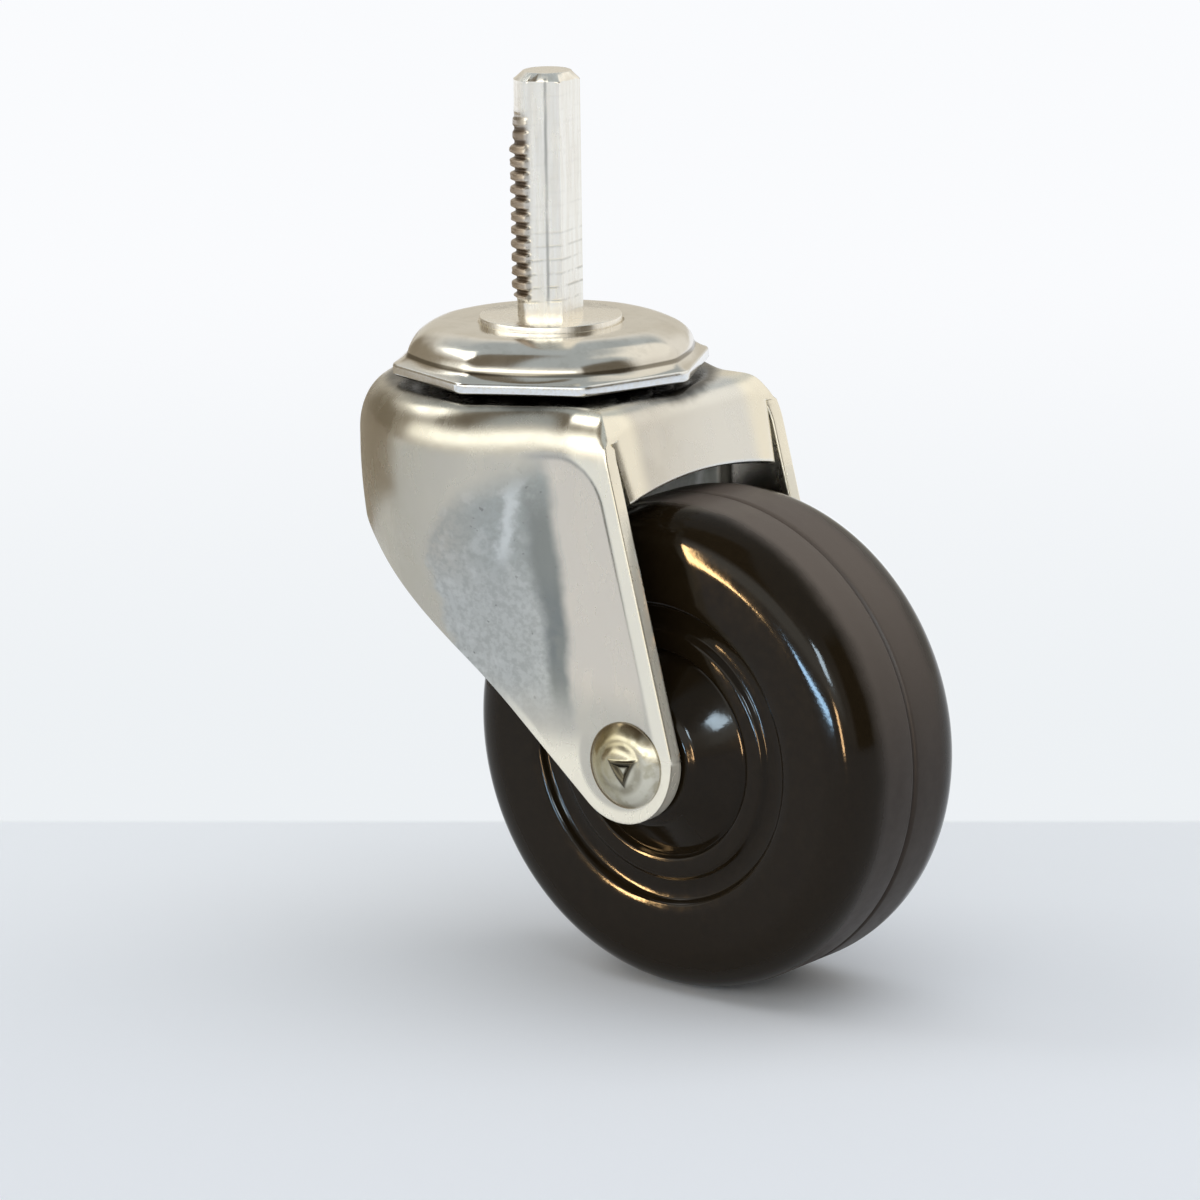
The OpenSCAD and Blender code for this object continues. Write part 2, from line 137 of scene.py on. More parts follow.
class Build:
    """Collects grids of points into one mesh, in millimetres."""

    def __init__(self):
        self.points, self.faces, self.count = [], [], 0

    def add(self, p):
        """Adds a block of points and gives back their numbers in the same shape."""
        p = np.asarray(p, float)
        index = np.arange(self.count, self.count + p[..., 0].size).reshape(p.shape[:-1])
        self.points.append(p.reshape(-1, 3))
        self.count += p[..., 0].size
        return index

    def quads(self, g, wrap=False, flip=False):
        """Faces over a grid of point numbers. wrap joins the last row to the first."""
        if wrap:
            g = np.vstack([g, g[:1]])
        a, b, c, d = g[:-1, :-1], g[1:, :-1], g[1:, 1:], g[:-1, 1:]
        f = np.stack([a, b, c, d] if not flip else [a, d, c, b], -1).reshape(-1, 4)
        self.faces.extend(f.tolist())

    def strip(self, one, two, flip=False):
        """One row of faces between two equal lines of points."""
        self.quads(np.stack([one, two], 1), flip=flip)

    def fan(self, loop, centre, flip=False):
        """Closes a loop with triangles to a centre."""
        k = int(self.add(np.asarray(centre, float)[None])[0])
        loop = list(map(int, loop))
        for a, b in zip(loop, loop[1:] + loop[:1]):
            self.faces.append([k, b, a] if flip else [k, a, b])

    def revolve(self, profile, steps, centre=(0, 0, 0), axis="z", closed=True):
        """Spins (r, h) points about an axis. A closed profile makes a ring-shaped solid."""
        profile = np.asarray(profile, float)
        a = np.linspace(0, 2 * np.pi, steps, endpoint=False)
        r, h = profile[None, :, 0], np.broadcast_to(profile[None, :, 1], (steps, len(profile)))
        c, s = np.cos(a)[:, None] * r, np.sin(a)[:, None] * r
        p = np.stack([c, s, h], -1) if axis == "z" else np.stack([c, -h, s], -1)
        g = self.add(p + np.asarray(centre, float))
        if closed:
            g = np.hstack([g, g[:, :1]])
        self.quads(g, wrap=True)

    def at(self, index):
        return np.vstack(self.points)[index]

    def object(self, name, material, body, replaced, slot, angle):
        """The points as an object in place of a CAD node. Edges over angle stay sharp."""
        mesh = bpy.data.meshes.new(name)
        mesh.from_pydata((np.vstack(self.points) * MM).tolist(), [], self.faces)
        mesh.validate()
        obj = bpy.data.objects.new(name, mesh)
        bpy.context.scene.collection.objects.link(obj)
        bpy.context.view_layer.objects.active = obj
        for o in bpy.context.selected_objects:
            o.select_set(False)
        obj.select_set(True)
        bpy.ops.object.mode_set(mode="EDIT")
        bpy.ops.mesh.select_all(action="SELECT")
        bpy.ops.mesh.remove_doubles(threshold=0.000002)
        bpy.ops.mesh.normals_make_consistent(inside=False)
        bpy.ops.object.mode_set(mode="OBJECT")
        mesh.polygons.foreach_set("use_smooth", [True] * len(mesh.polygons))
        mesh.set_sharp_from_angle(angle=math.radians(angle))
        mesh.materials.append(material)
        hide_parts(replaced)
        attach(obj, body)
        return obj


def arc(centre, radius, start, stop, steps):
    a = np.radians(np.linspace(start, stop, steps))
    return np.stack([centre[0] + radius * np.cos(a), centre[1] + radius * np.sin(a)], -1)


# ---------------------------------------------------------------- node helpers


def opaque(colour):
    """A colour for a socket: a link as it is, a plain colour with its alpha."""
    return colour if isinstance(colour, bpy.types.NodeSocket) else (*colour, 1)


class Nodes:
    """Short ways to write a node tree."""

    def __init__(self, owner):
        owner.use_nodes = True
        self.tree = owner.node_tree
        self.tree.nodes.clear()

    def new(self, kind, **settings):
        n = self.tree.nodes.new(kind)
        for k, v in settings.items():
            setattr(n, k, v)
        return n

    def put(self, socket, value):
        if isinstance(value, bpy.types.NodeSocket):
            self.tree.links.new(value, socket)
        elif value is not None:
            socket.default_value = value

    def math(self, op, a, b=0.0):
        n = self.new("ShaderNodeMath", operation=op)
        self.put(n.inputs[0], a)
        self.put(n.inputs[1], b)
        return n.outputs[0]

    def plus(self, a, b):
        return self.math("ADD", a, b)

    def minus(self, a, b):
        return self.math("SUBTRACT", a, b)

    def most(self, a, b):
        return self.math("MAXIMUM", a, b)

    def times(self, *values):
        out = values[0]
        for v in values[1:]:
            out = self.math("MULTIPLY", out, v)
        return out

    def mm(self, value):
        return self.times(value, PER_METRE)

    def length(self, a, b):
        return self.math("SQRT", self.plus(self.times(a, a), self.times(b, b)))

    def ramp(self, value, low, high, to_low=0.0, to_high=1.0):
        n = self.new("ShaderNodeMapRange", interpolation_type="SMOOTHSTEP")
        self.put(n.inputs["Value"], value)
        for k, v in zip(("From Min", "From Max", "To Min", "To Max"), (low, high, to_low, to_high)):
            self.put(n.inputs[k], v)
        return n.outputs[0]

    def noise(self, vector, scale, detail=4.0, rough=0.55):
        n = self.new("ShaderNodeTexNoise")
        self.put(n.inputs["Vector"], vector)
        n.inputs["Scale"].default_value = scale
        n.inputs["Detail"].default_value = detail
        n.inputs["Roughness"].default_value = rough
        return n.outputs["Fac"]

    def stretch(self, vector, scale):
        n = self.new("ShaderNodeMapping")
        self.put(n.inputs["Vector"], vector)
        n.inputs["Scale"].default_value = scale
        return n.outputs[0]

    def blend(self, fac, a, b):
        n = self.new("ShaderNodeMix", data_type="RGBA")
        self.put(n.inputs[0], fac)
        self.put(n.inputs[6], opaque(a))
        self.put(n.inputs[7], opaque(b))
        return n.outputs[2]

    def bump(self, height, distance, strength=1.0, under=None):
        n = self.new("ShaderNodeBump")
        n.inputs["Strength"].default_value = strength
        n.inputs["Distance"].default_value = distance
        self.put(n.inputs["Height"], height)
        if under is not None:
            self.put(n.inputs["Normal"], under)
        return n.outputs[0]

    def place(self):
        """Object coordinates, whole and split, in metres of the row frame."""
        v = self.new("ShaderNodeTexCoord").outputs["Object"]
        s = self.new("ShaderNodeSeparateXYZ")
        self.put(s.inputs[0], v)
        return v, s.outputs[0], s.outputs[1], s.outputs[2]


def shader(n, colour, rough, metallic, normal=None, specular=None):
    bsdf = n.new("ShaderNodeBsdfPrincipled")
    n.put(bsdf.inputs["Base Color"], opaque(colour))
    n.put(bsdf.inputs["Roughness"], rough)
    bsdf.inputs["Metallic"].default_value = metallic
    if specular is not None:
        bsdf.inputs["Specular IOR Level"].default_value = specular
    if normal is not None:
        n.put(bsdf.inputs["Normal"], normal)
    out = n.new("ShaderNodeOutputMaterial")
    n.put(out.inputs["Surface"], bsdf.outputs[0])
    return bsdf


# ---------------------------------------------------------------- fork surfaces


def front_s(z):
    """Front edge of the leg in the side view: round the bend, then straight."""
    z = np.asarray(z, float)
    bend = FRONT_C[0] + np.sqrt(np.clip(BEND_R**2 - (z - FRONT_C[1]) ** 2, 0, None))
    straight = mix(FRONT_TOP[0], FRONT_LOW[0], (FRONT_TOP[1] - z) / (FRONT_TOP[1] - FRONT_LOW[1]))
    return np.where(z > FRONT_TOP[1], bend, straight)


def rear_z(s):
    """Lower edge in the side view: the level skirt, then the sloping rear edge."""
    return -soft_max(-SKIRT_Z, -(SKIRT_Z + (s - REAR_S) * math.tan(REAR_SLOPE)), 3.0)


def inset(z):
    """How far the shoulder comes in at height z."""
    q = np.clip((z - CROWN_Z) / SHOULDER_DOWN + 1, 0, 1)
    return SHOULDER_IN * (1 - np.sqrt(1 - q * q))


def shell(s, z):
    """Outer surface of the drawn sheet on the near side."""
    d = inset(z)
    r = CROWN_R - d
    flat = LEG_Y - d
    round_y = r * np.sqrt(np.clip(1 - (np.maximum(0, s) / BULGE_REACH) ** 2, 0, None))
    left = 1 - ease((BULGE_TOP - z) / BULGE_DROP)
    y = flat + left * soft_max(0.0, round_y - flat, BULGE_BLEND)
    turn = -s / CROWN_R
    front = s > 0
    return np.stack(
        [np.where(front, s, -r * np.sin(turn)), np.where(front, -y, -y * np.cos(turn)), z], -1
    )


def shell_out(s, z):
    """Outward direction of the shell."""
    e = 0.04
    along = shell(s + e, z) - shell(s - e, z)
    down = shell(s, z - e) - shell(s, z + e)
    n = np.cross(down, along)
    return n / np.linalg.norm(n, axis=-1, keepdims=True)


def outline():
    """Edge of the sheet in the side view, as a dense line of (s, z)."""
    z = np.linspace(CROWN_Z, FRONT_LOW[1], 400)
    a = np.linspace(FRONT_TURN, REAR_TURN, 200)
    s = np.linspace(REAR_LOW[0], BACK_S - 4, 500)
    return np.vstack(
        [
            np.stack([front_s(z), z], -1),
            TIP_C + TIP_R * np.stack([np.cos(a), np.sin(a)], -1),
            np.stack([s, rear_z(s)], -1),
        ]
    )


def edge_distance(s, z, line):
    """Distance of each point from a line in the side view."""
    p = np.stack([s, z], -1).reshape(-1, 2)
    a, b = line[:-1], line[1:]
    ab = b - a
    length2 = np.maximum((ab**2).sum(1), 1e-12)
    out = np.empty(len(p))
    for k in range(0, len(p), 2000):
        q = p[k : k + 2000, None]
        t = np.clip(((q - a) * ab).sum(-1) / length2, 0, 1)
        out[k : k + 2000] = np.sqrt((((q - a) - t[..., None] * ab) ** 2).sum(-1)).min(1)
    return out.reshape(s.shape)


def fillet(e, f):
    """How far a surface drops at distance e from an edge that has a round of radius f."""
    k = np.clip(f - e, 0, None)
    return f - np.sqrt(np.clip(f * f - k * k, 0, None))


def panel_depth(s, z):
    """The leg's flat panel lies a little below a rim along its front edge and arched top."""
    a = (front_s(z) - PANEL_RIM - s) * math.cos(FRONT_TURN)
    b = PANEL_TOP - z
    r = PANEL_ROUND
    inner = np.minimum(a, b)
    corner = r - np.hypot(np.clip(r - a, 0, None), np.clip(r - b, 0, None))
    d = np.where((a < r) & (b < r), corner, inner)
    return 0.3 * ease(d, 0, 0.8) * ease(s, 8.5, 11.5) * (1 - ease(-z, 31.9, 36.9))


def valley_depth(s, z):
    """A narrow draw line where the bulge runs into the flat panel."""
    line = 10.5 + 0.35 * np.sin((z + 0.4) * 0.55) * ease(-z, 22, 30)
    return 0.10 * np.exp(-(((s - line) / 0.32) ** 2)) * ease(-z, 15, 22) * (1 - ease(-z, 33.5, 36))


def fork_columns():
    """[top s, low s, low z, bend] for columns from the front edge round to the back."""
    u = np.concatenate(
        [
            [0, 0.003, 0.008, 0.015, 0.026, 0.04, 0.06, 0.085],
            np.linspace(0.115, 1, 34),
            np.linspace(1, 2, 47)[1:],
            np.linspace(2, 3, 27)[1:],
        ]
    )
    t, r, b = np.clip(u, 0, 1), np.clip(u - 1, 0, 1), np.clip(u - 2, 0, 1)
    a = mix(FRONT_TURN, REAR_TURN, t)
    s = np.where(u <= 1, TIP_C[0] + TIP_R * np.cos(a), mix(REAR_LOW[0], REAR_S, r))
    s = np.where(u > 2, mix(REAR_S, BACK_S, b), s)
    z = np.where(u <= 1, TIP_C[1] + TIP_R * np.sin(a), rear_z(s))
    top = np.where(u <= 1, mix(FRONT_C[0], MID_TOP_S, t), mix(MID_TOP_S, REAR_S, r))
    top = np.where(u > 2, s, top)
    return np.stack([top, s, z, np.where(u <= 1, (1 - t) ** 2, 0)], -1)


def fork_grid():
    """(s, z) of every point of one side's grid, columns by rows."""
    c = fork_columns()
    v = np.concatenate([np.linspace(0, 1, 22), 1 + np.linspace(0, 1, 47)[1:-1]])
    low = c[:, 2:3]
    wall_top = CROWN_Z - SHOULDER_DOWN
    shoulder = CROWN_Z - SHOULDER_DOWN * (1 - np.cos(np.pi / 2 * v[v <= 1]))
    wall = mix(wall_top, low + 0.72, (v[v > 1][None] - 1) / (v.max() - 1))
    near = np.array([0.55, 0.4, 0.28, 0.19, 0.12, 0.06, 0.025, 0.0])
    z = np.hstack([np.tile(shoulder, (len(c), 1)), wall, low + near])
    straight = mix(c[:, 0:1], c[:, 1:2], (CROWN_Z - z) / (CROWN_Z - low))
    edge = mix(c[0, 0], c[0, 1], (CROWN_Z - z) / (CROWN_Z - c[0, 2]))
    return straight + c[:, 3:4] * (front_s(z) - edge), z


def build_fork(material):
    b = Build()
    s, z = fork_grid()
    e = edge_distance(s, z, outline())
    round_r = np.where(
        z > SLIT_Z,
        0.85 * ease(CROWN_Z - z, 0.1, 1.7) * (1 - ease(-z, -SLIT_Z - 0.5, -SLIT_Z + 0.1)),
        0.0,
    ) + 0.27 * ease(-z, -SLIT_Z - 0.5, -SLIT_Z + 0.1)
    n = shell_out(s, z)
    n[:, 0] = (0, 0, 1)
    body = shell(s, z)
    outer = body - n * (fillet(e, round_r) + panel_depth(s, z) + valley_depth(s, z))[..., None]
    back = np.where(z > SLIT_Z, 0.35, 0.0) * ease(0.6 - e, 0, 0.6)
    back[:, 0] = 0
    lift = fillet(e, np.full_like(e, 0.24))
    lift[:, 0] = 0
    inner = shell(s - back, z) - n * (SHEET - lift)[..., None]
    far = np.array([1, -1, 1])

    def sides(p):
        return b.add(np.concatenate([p, p[-2::-1] * far]))

    go, gi = sides(outer), sides(inner)
    b.quads(go)
    b.quads(gi, flip=True)
    b.strip(go[:, -1], gi[:, -1])
    b.strip(go[0], gi[0], flip=True)
    b.strip(go[-1], gi[-1])

    # Crown: rings from the race out to the shoulder, closed in front by the apron's top edge.
    across = 41
    k = np.linspace(1, -1, across)
    edge = b.at(go[:, 0])
    front = np.stack([np.full(across, FRONT_C[0]), k * edge[-1][1], np.full(across, CROWN_Z)], -1)
    loop = np.vstack([edge, front[1:-1]])
    angle = np.arctan2(loop[:, 1], loop[:, 0])
    circle = np.stack([RACE_OUT * np.cos(angle), RACE_OUT * np.sin(angle), loop[:, 2]], -1)
    for drop, flip in ((0.0, False), (SHEET, True)):
        rings = np.stack([mix(loop, circle, t) for t in (0, 0.3, 0.65, 1)], 1) - [0, 0, drop]
        b.quads(b.add(rings), wrap=True, flip=flip)

    low = CROWN_Z - SHEET
    bore = PIN_R + RUNNING
    out_r = RACE_R + SHEET
    rise = BOSS_Z - RACE_C[1]
    a0 = 180 - math.degrees(math.asin(rise / RACE_R))
    a1 = 180 - math.degrees(math.asin((BOSS_Z - SHEET - RACE_C[1]) / out_r))
    section = np.vstack(
        [
            [[RACE_OUT, CROWN_Z]],
            arc(RACE_C, RACE_R, 270, a0, 24),
            [[bore + 0.2, BOSS_Z], [bore, BOSS_Z - 0.2], [bore, BOSS_Z - SHEET]],
            arc(RACE_C, out_r, a1, 270, 24),
            [[RACE_OUT, low]],
        ]
    )
    b.revolve(section, 144, closed=False)

    # Apron: it shares the shell's corner down to the slits, then runs to the arched edge.
    rows = int((z[0] > SLIT_Z).sum())
    zc = z[0, :rows]
    turn = np.arcsin(np.clip((zc - FRONT_C[1]) / BEND_R, math.sin(FRONT_TURN), 1))
    centre = np.stack([front_s(zc), np.zeros(rows), zc], -1)
    corner = outer[0, :rows] * far
    w = ease(np.abs(k), 0.8, 1.0)[:, None]
    bend = centre[None] + w[..., None] * (corner - centre)[None] * [1, 0, 1]
    bend[..., 1] = k[:, None] * corner[None, :, 1]
    half_low = LEG_GAP / 2 - 0.9
    arch_r = (half_low**2 + APRON_ARCH**2) / (2 * APRON_ARCH)
    low_z = CROWN_Z - APRON_H + APRON_ARCH - arch_r + np.sqrt(arch_r**2 - (half_low * k) ** 2)
    lean = np.array([math.sin(FRONT_TURN), 0, -math.cos(FRONT_TURN)])
    reach = (zc[-1] - low_z) / -lean[2]
    steps = np.concatenate([[0.004], np.linspace(0.05, 0.88, 18), [0.92, 0.95, 0.975, 0.99, 1.0]])
    fall = steps[None] * reach[:, None]
    face = centre[-1] + lean * fall[..., None]
    width = mix(LEG_GAP / 2 - 0.03, half_low, np.clip(steps * reach.mean() / (APRON_H - 3), 0, 1))
    face[..., 1] = k[:, None] * width
    whole = np.concatenate([bend, face], 1)
    normal = np.stack([np.cos(turn), np.zeros(rows), np.sin(turn)], -1)
    normal = np.concatenate([normal, np.tile([FRONT_DIR[0], 0, FRONT_DIR[1]], (len(steps), 1))])
    gap = np.full(whole.shape[:2], 9.0)
    gap[:, rows:] = np.minimum(width * (1 - np.abs(k[:, None])), reach[:, None] - fall)
    ao = b.add(whole - normal * fillet(gap, np.full_like(gap, 0.27))[..., None])
    ai = b.add(whole - normal * (SHEET - fillet(gap, np.full_like(gap, 0.24)))[..., None])
    b.quads(ao, flip=True)
    b.quads(ai)
    b.strip(ao[:, -1], ai[:, -1], flip=True)
    b.strip(ao[0, rows:], ai[0, rows:])
    b.strip(ao[-1, rows:], ai[-1, rows:], flip=True)
    return b.object("fork_sheet", material, "swivel_fork", "fork", "plated_steel", angle=42)


# ---------------------------------------------------------------- wheel, cap, stem, rivet


def side_profile():
    """Half section of the wheel from the bore out over the side to the middle of the tread."""
    half = TREAD_W / 2
    hub = LEG_GAP / 2 - HUB_PLAY
    dish = half - DISH_DEPTH
    mid = (DISH_R + RING_R) / 2
    fine = [
        [TUBE_R + RUNNING, hub - 0.25],
        [TUBE_R + RUNNING + 0.25, hub],
        [HUB_R - 0.35, hub],
        [HUB_R - 0.1, hub - 0.08],
        [HUB_R + 0.12, hub - 0.32],
    ]
    t = np.linspace(0.08, 0.93, 14)
    for k in t:
        sag = 0.25 * math.sin(math.pi * k)
        fine.append([mix(HUB_R, RING_R - 0.45, k), mix(hub, dish, k) - sag])
    fine += [
        [RING_R - 0.5, dish + 0.04],
        [RING_R - 0.34, dish],
        [RING_R - 0.2, dish + 0.12],
        [RING_R - 0.08, half - 0.42],
        [RING_R + 0.08, half - 0.3],
        [RING_R + 0.35, half - 0.27],
        [mid - 0.75, half - 0.3],
        [mid - 0.5, half - 0.34],
        [mid - 0.3, half - 0.5],
        [mid - 0.12, dish + 0.1],
        [mid + 0.1, dish],
        [DISH_R - 0.62, dish],
        [DISH_R - 0.42, dish + 0.08],
        [DISH_R - 0.2, half - 0.42],
        [DISH_R - 0.06, half - 0.16],
        [DISH_R + 0.18, half - 0.07],
        [DISH_R + 1.2, half - 0.02],
        [20.6, half],
    ]
    # The side turns over a soft edge into a broad shoulder that runs out in the flat tread.
    turn = np.radians(np.linspace(2, 26, 14))
    soft = np.stack([20.7 + 5.5 * np.sin(turn), half - 5.5 * (1 - np.cos(turn))], -1)
    t = np.linspace(0, 1, 30)[1:, None]
    end = np.array([WHEEL_R, 4.3])
    out = np.array([math.cos(turn[-1]), -math.sin(turn[-1])])
    a, c = soft[-1] + 1.2 * out, end + [0, 2.5]
    left = 1 - t
    shoulder = soft[-1] * left**3 + 3 * a * t * left**2 + 3 * c * t * t * left + end * t**3
    tread = [
        [WHEEL_R, 2.4],
        [WHEEL_R, 0.6],
        [WHEEL_R - 0.03, 0.4],
        [WHEEL_R - 0.16, 0.28],
        [WHEEL_R - 0.42, 0.12],
        [WHEEL_R - 0.45, 0.0],
    ]
    return np.vstack([fine, soft, shoulder, tread])


def build_wheel(material):
    b = Build()
    p = side_profile()
    both = np.vstack([p, (p * [1, -1])[-2::-1]])
    b.revolve(both, 208, (TRAIL, 0, AXLE_Z), axis="y")
    return b.object("wheel_tyre", material, "rolling_wheel", "wheel", "wheel_rubber", angle=50)


def octagon(angle, flats):
    """Radius of an octagon with slightly rounded corners, in a direction."""
    sides = np.radians(CAP_TURN + 22.5 + 45 * np.arange(8))
    a = (np.asarray(angle)[:, None] - sides[None]) % (2 * np.pi)
    d = np.cos(a)
    reach = np.where(d > 0.2, flats / 2 / np.maximum(d, 0.2), 1e3)
    two = np.sort(reach, 1)[:, :2]
    k = 0.55
    h = np.maximum(k - (two[:, 1] - two[:, 0]), 0) / k
    return two[:, 0] - h * h * k / 4


def build_cap(material):
    b = Build()
    steps = 208
    th = np.linspace(0, 2 * np.pi, steps, endpoint=False)
    ring = np.stack([np.cos(th), np.sin(th)], -1)
    oct_r = octagon(th, CAP_FLATS)
    recess_z = -COLLAR_T
    top = np.array(
        [
            [PIN_R + 0.02, recess_z],
            [COLLAR_R + 0.02, recess_z],
            [COLLAR_R + 0.1, recess_z + 0.08],
            [COLLAR_R + 0.12, CAP_TOP - 0.14],
            [COLLAR_R + 0.2, CAP_TOP - 0.03],
            [COLLAR_R + 0.36, CAP_TOP],
        ]
    )
    slope = math.degrees(DOME_SLOPE)
    ai = arc(DOME_C, DOME_R - CAP_T, 90, 90 - slope, 22)
    ci = arc(FOOT_C, FOOT_R + CAP_T, 270 - slope, 270, 14)
    wall_r = COLLAR_R + 0.7
    under_z = recess_z - CAP_T
    under = [[PIN_R + 0.02, under_z], [wall_r, under_z], [wall_r, CAP_TOP - CAP_T]]
    low = np.vstack([under, ai, ci[1:]])

    def spun(profile):
        """A profile of (r, z) points carried round the axis."""
        height = np.broadcast_to(profile[None, :, 1, None], (steps, len(profile), 1))
        return np.concatenate([profile[None, :, 0, None] * ring[:, None], height], -1)

    def edge(rows):
        """Rows of the flange's rim: (how far in from the octagon, height)."""
        r = np.stack([oct_r - back for back, _ in rows], 1)
        z = np.broadcast_to(np.array([h for _, h in rows]), r.shape)
        return np.concatenate([r[..., None] * ring[:, None], z[..., None]], -1)

    # The dome follows the octagon at its foot and flares out to the rim.
    reach = ease((oct_r - CAP_FLATS / 2) / (CAP_FLATS / 2 * (1 / math.cos(math.pi / 8) - 1)))
    foot = mix(CAP_FLATS / 2 - 0.85, CAP_FLATS / 2 - 0.45, reach)[:, None]
    turn = np.radians(np.linspace(0, 82, 26))[None]
    dome_r = DOME_C[0] + (foot - DOME_C[0]) * np.sin(turn) / np.sin(turn[0, -1])
    fall = CAP_TOP - FLANGE_TOP - FLARE_H
    dome_z = CAP_TOP - fall * (1 - np.cos(turn)) / (1 - np.cos(turn[0, -1]))
    t = np.array([0.12, 0.3, 0.5, 0.75, 1.0])[None]
    flare_r = mix(foot, oct_r[:, None] - 0.22, t)
    flare_z = np.broadcast_to(FLANGE_TOP + (FLARE_H - 0.1) * (1 - t) ** 1.4, flare_r.shape)
    flat, flat_z = np.hstack([dome_r + 0 * foot, flare_r]), np.hstack([dome_z + 0 * foot, flare_z])
    flat_p = np.concatenate([flat[..., None] * ring[:, None], flat_z[..., None]], -1)
    rim = edge(
        [
            (0.16, FLANGE_TOP - 0.03),
            (0.05, FLANGE_TOP - 0.12),
            (0.0, FLANGE_TOP - 0.3),
            (0.0, FLANGE_LOW + 0.25),
            (0.05, FLANGE_LOW + 0.1),
            (0.18, FLANGE_LOW),
        ]
    )
    lowz = spun(low)[:, ::-1]
    lowz[..., 2] = np.where(lowz[..., 2] < FLANGE_LOW, FLANGE_LOW, lowz[..., 2])
    whole = np.concatenate([spun(top), flat_p, rim, lowz], 1)
    g = b.add(whole)
    b.quads(np.hstack([g, g[:, :1]]), wrap=True)
    return b.object("cap_shell", material, "mounting", "top_cap", "plated_steel", angle=40)


def stem_radius(angle):
    """Radius of the stem in a direction: round, with three flats in front."""
    r = np.full(angle.shape, STEM_R)
    for turn in FLAT_TURNS:
        c = np.cos(angle - math.radians(turn))
        r = np.where(c > 0.1, np.minimum(r, FLAT_SHARE * STEM_R / np.maximum(c, 0.1)), r)
    return r


def build_stem(material):
    b = Build()
    front = np.radians(np.concatenate([np.linspace(-90, -74, 12), np.linspace(-70, 90, 41)]))
    start, stop = [90.6, 91.5, 93, 95, 98], [262, 265, 267, 268.5, 269.4]
    back = np.radians(np.concatenate([start, np.linspace(102, 258, 50), stop]))
    th = np.concatenate([front, back])
    top = [23.4, STEM_L - 1.0, STEM_L - 0.85]
    z = np.concatenate([[0.0, 0.3], np.linspace(0.6, 22.6, 312), top])
    tt, zz = np.meshgrid(th, z, indexing="ij")
    r = stem_radius(tt)
    phase = ((zz - THREAD_START) / PITCH - (tt - math.pi / 2) / (2 * math.pi)) % 1.0
    tooth = ease(1 - np.abs(2 * phase - 1) * 1.08, 0.0, 0.62) ** 1.25
    strength = ease(zz, 1.7, 2.3) * (1 - 0.62 * ease(zz, 17.3, 18.0)) * (1 - ease(zz, 19.6, 21.9))
    wide = np.degrees(tt) + np.where(tt < 0, 360, 0)
    behind = ease(wide, 90.2, 97) * (1 - ease(wide, 267, 275))
    wobble = 1 + 0.10 * np.sin(phase * 6.28 + zz * 2.3) * np.cos(tt * 3 + zz)
    r = r + (THREAD_R - STEM_R) * tooth * strength * behind * wobble
    p = np.stack([r * np.cos(tt), r * np.sin(tt), zz], -1)
    base_r = stem_radius(th)
    cap_rows = []
    for back_in, down in ((0.12, 0.78), (0.92, 0.06), (1.06, 0.01), (1.3, 0.0)):
        q = np.minimum(base_r, STEM_R - back_in)
        height = np.full(len(th), STEM_L - down)
        cap_rows.append(np.stack([q * np.cos(th), q * np.sin(th), height], -1))
    whole = np.concatenate([p, np.stack(cap_rows, 1)], 1)
    g = b.add(whole)
    b.quads(g, wrap=True)
    b.fan(g[:, -1], (0, 0, STEM_L))
    edge = 0.16
    collar = [
        [PIN_R - 0.4, 0.0],
        [COLLAR_R - edge, 0.0],
        [COLLAR_R - 0.05, -0.05],
        [COLLAR_R, -edge],
        [COLLAR_R, -COLLAR_T],
        [PIN_R, -COLLAR_T],
    ]
    peen = arc([PEEN_R - 0.5, CUP_LOW - 0.5], 0.5, 90, -60, 8).tolist()
    foot = CUP_LOW - PEEN_H
    end = [[PEEN_R - 0.9, foot + 0.08], [PEEN_R - 1.1, foot], [0.4, foot + 0.25]]
    b.revolve(collar + [[PIN_R, CUP_LOW]] + peen + end, 128, closed=False)
    return b.object("stem_bar", material, "mounting", "stem", "stem_steel", angle=35)


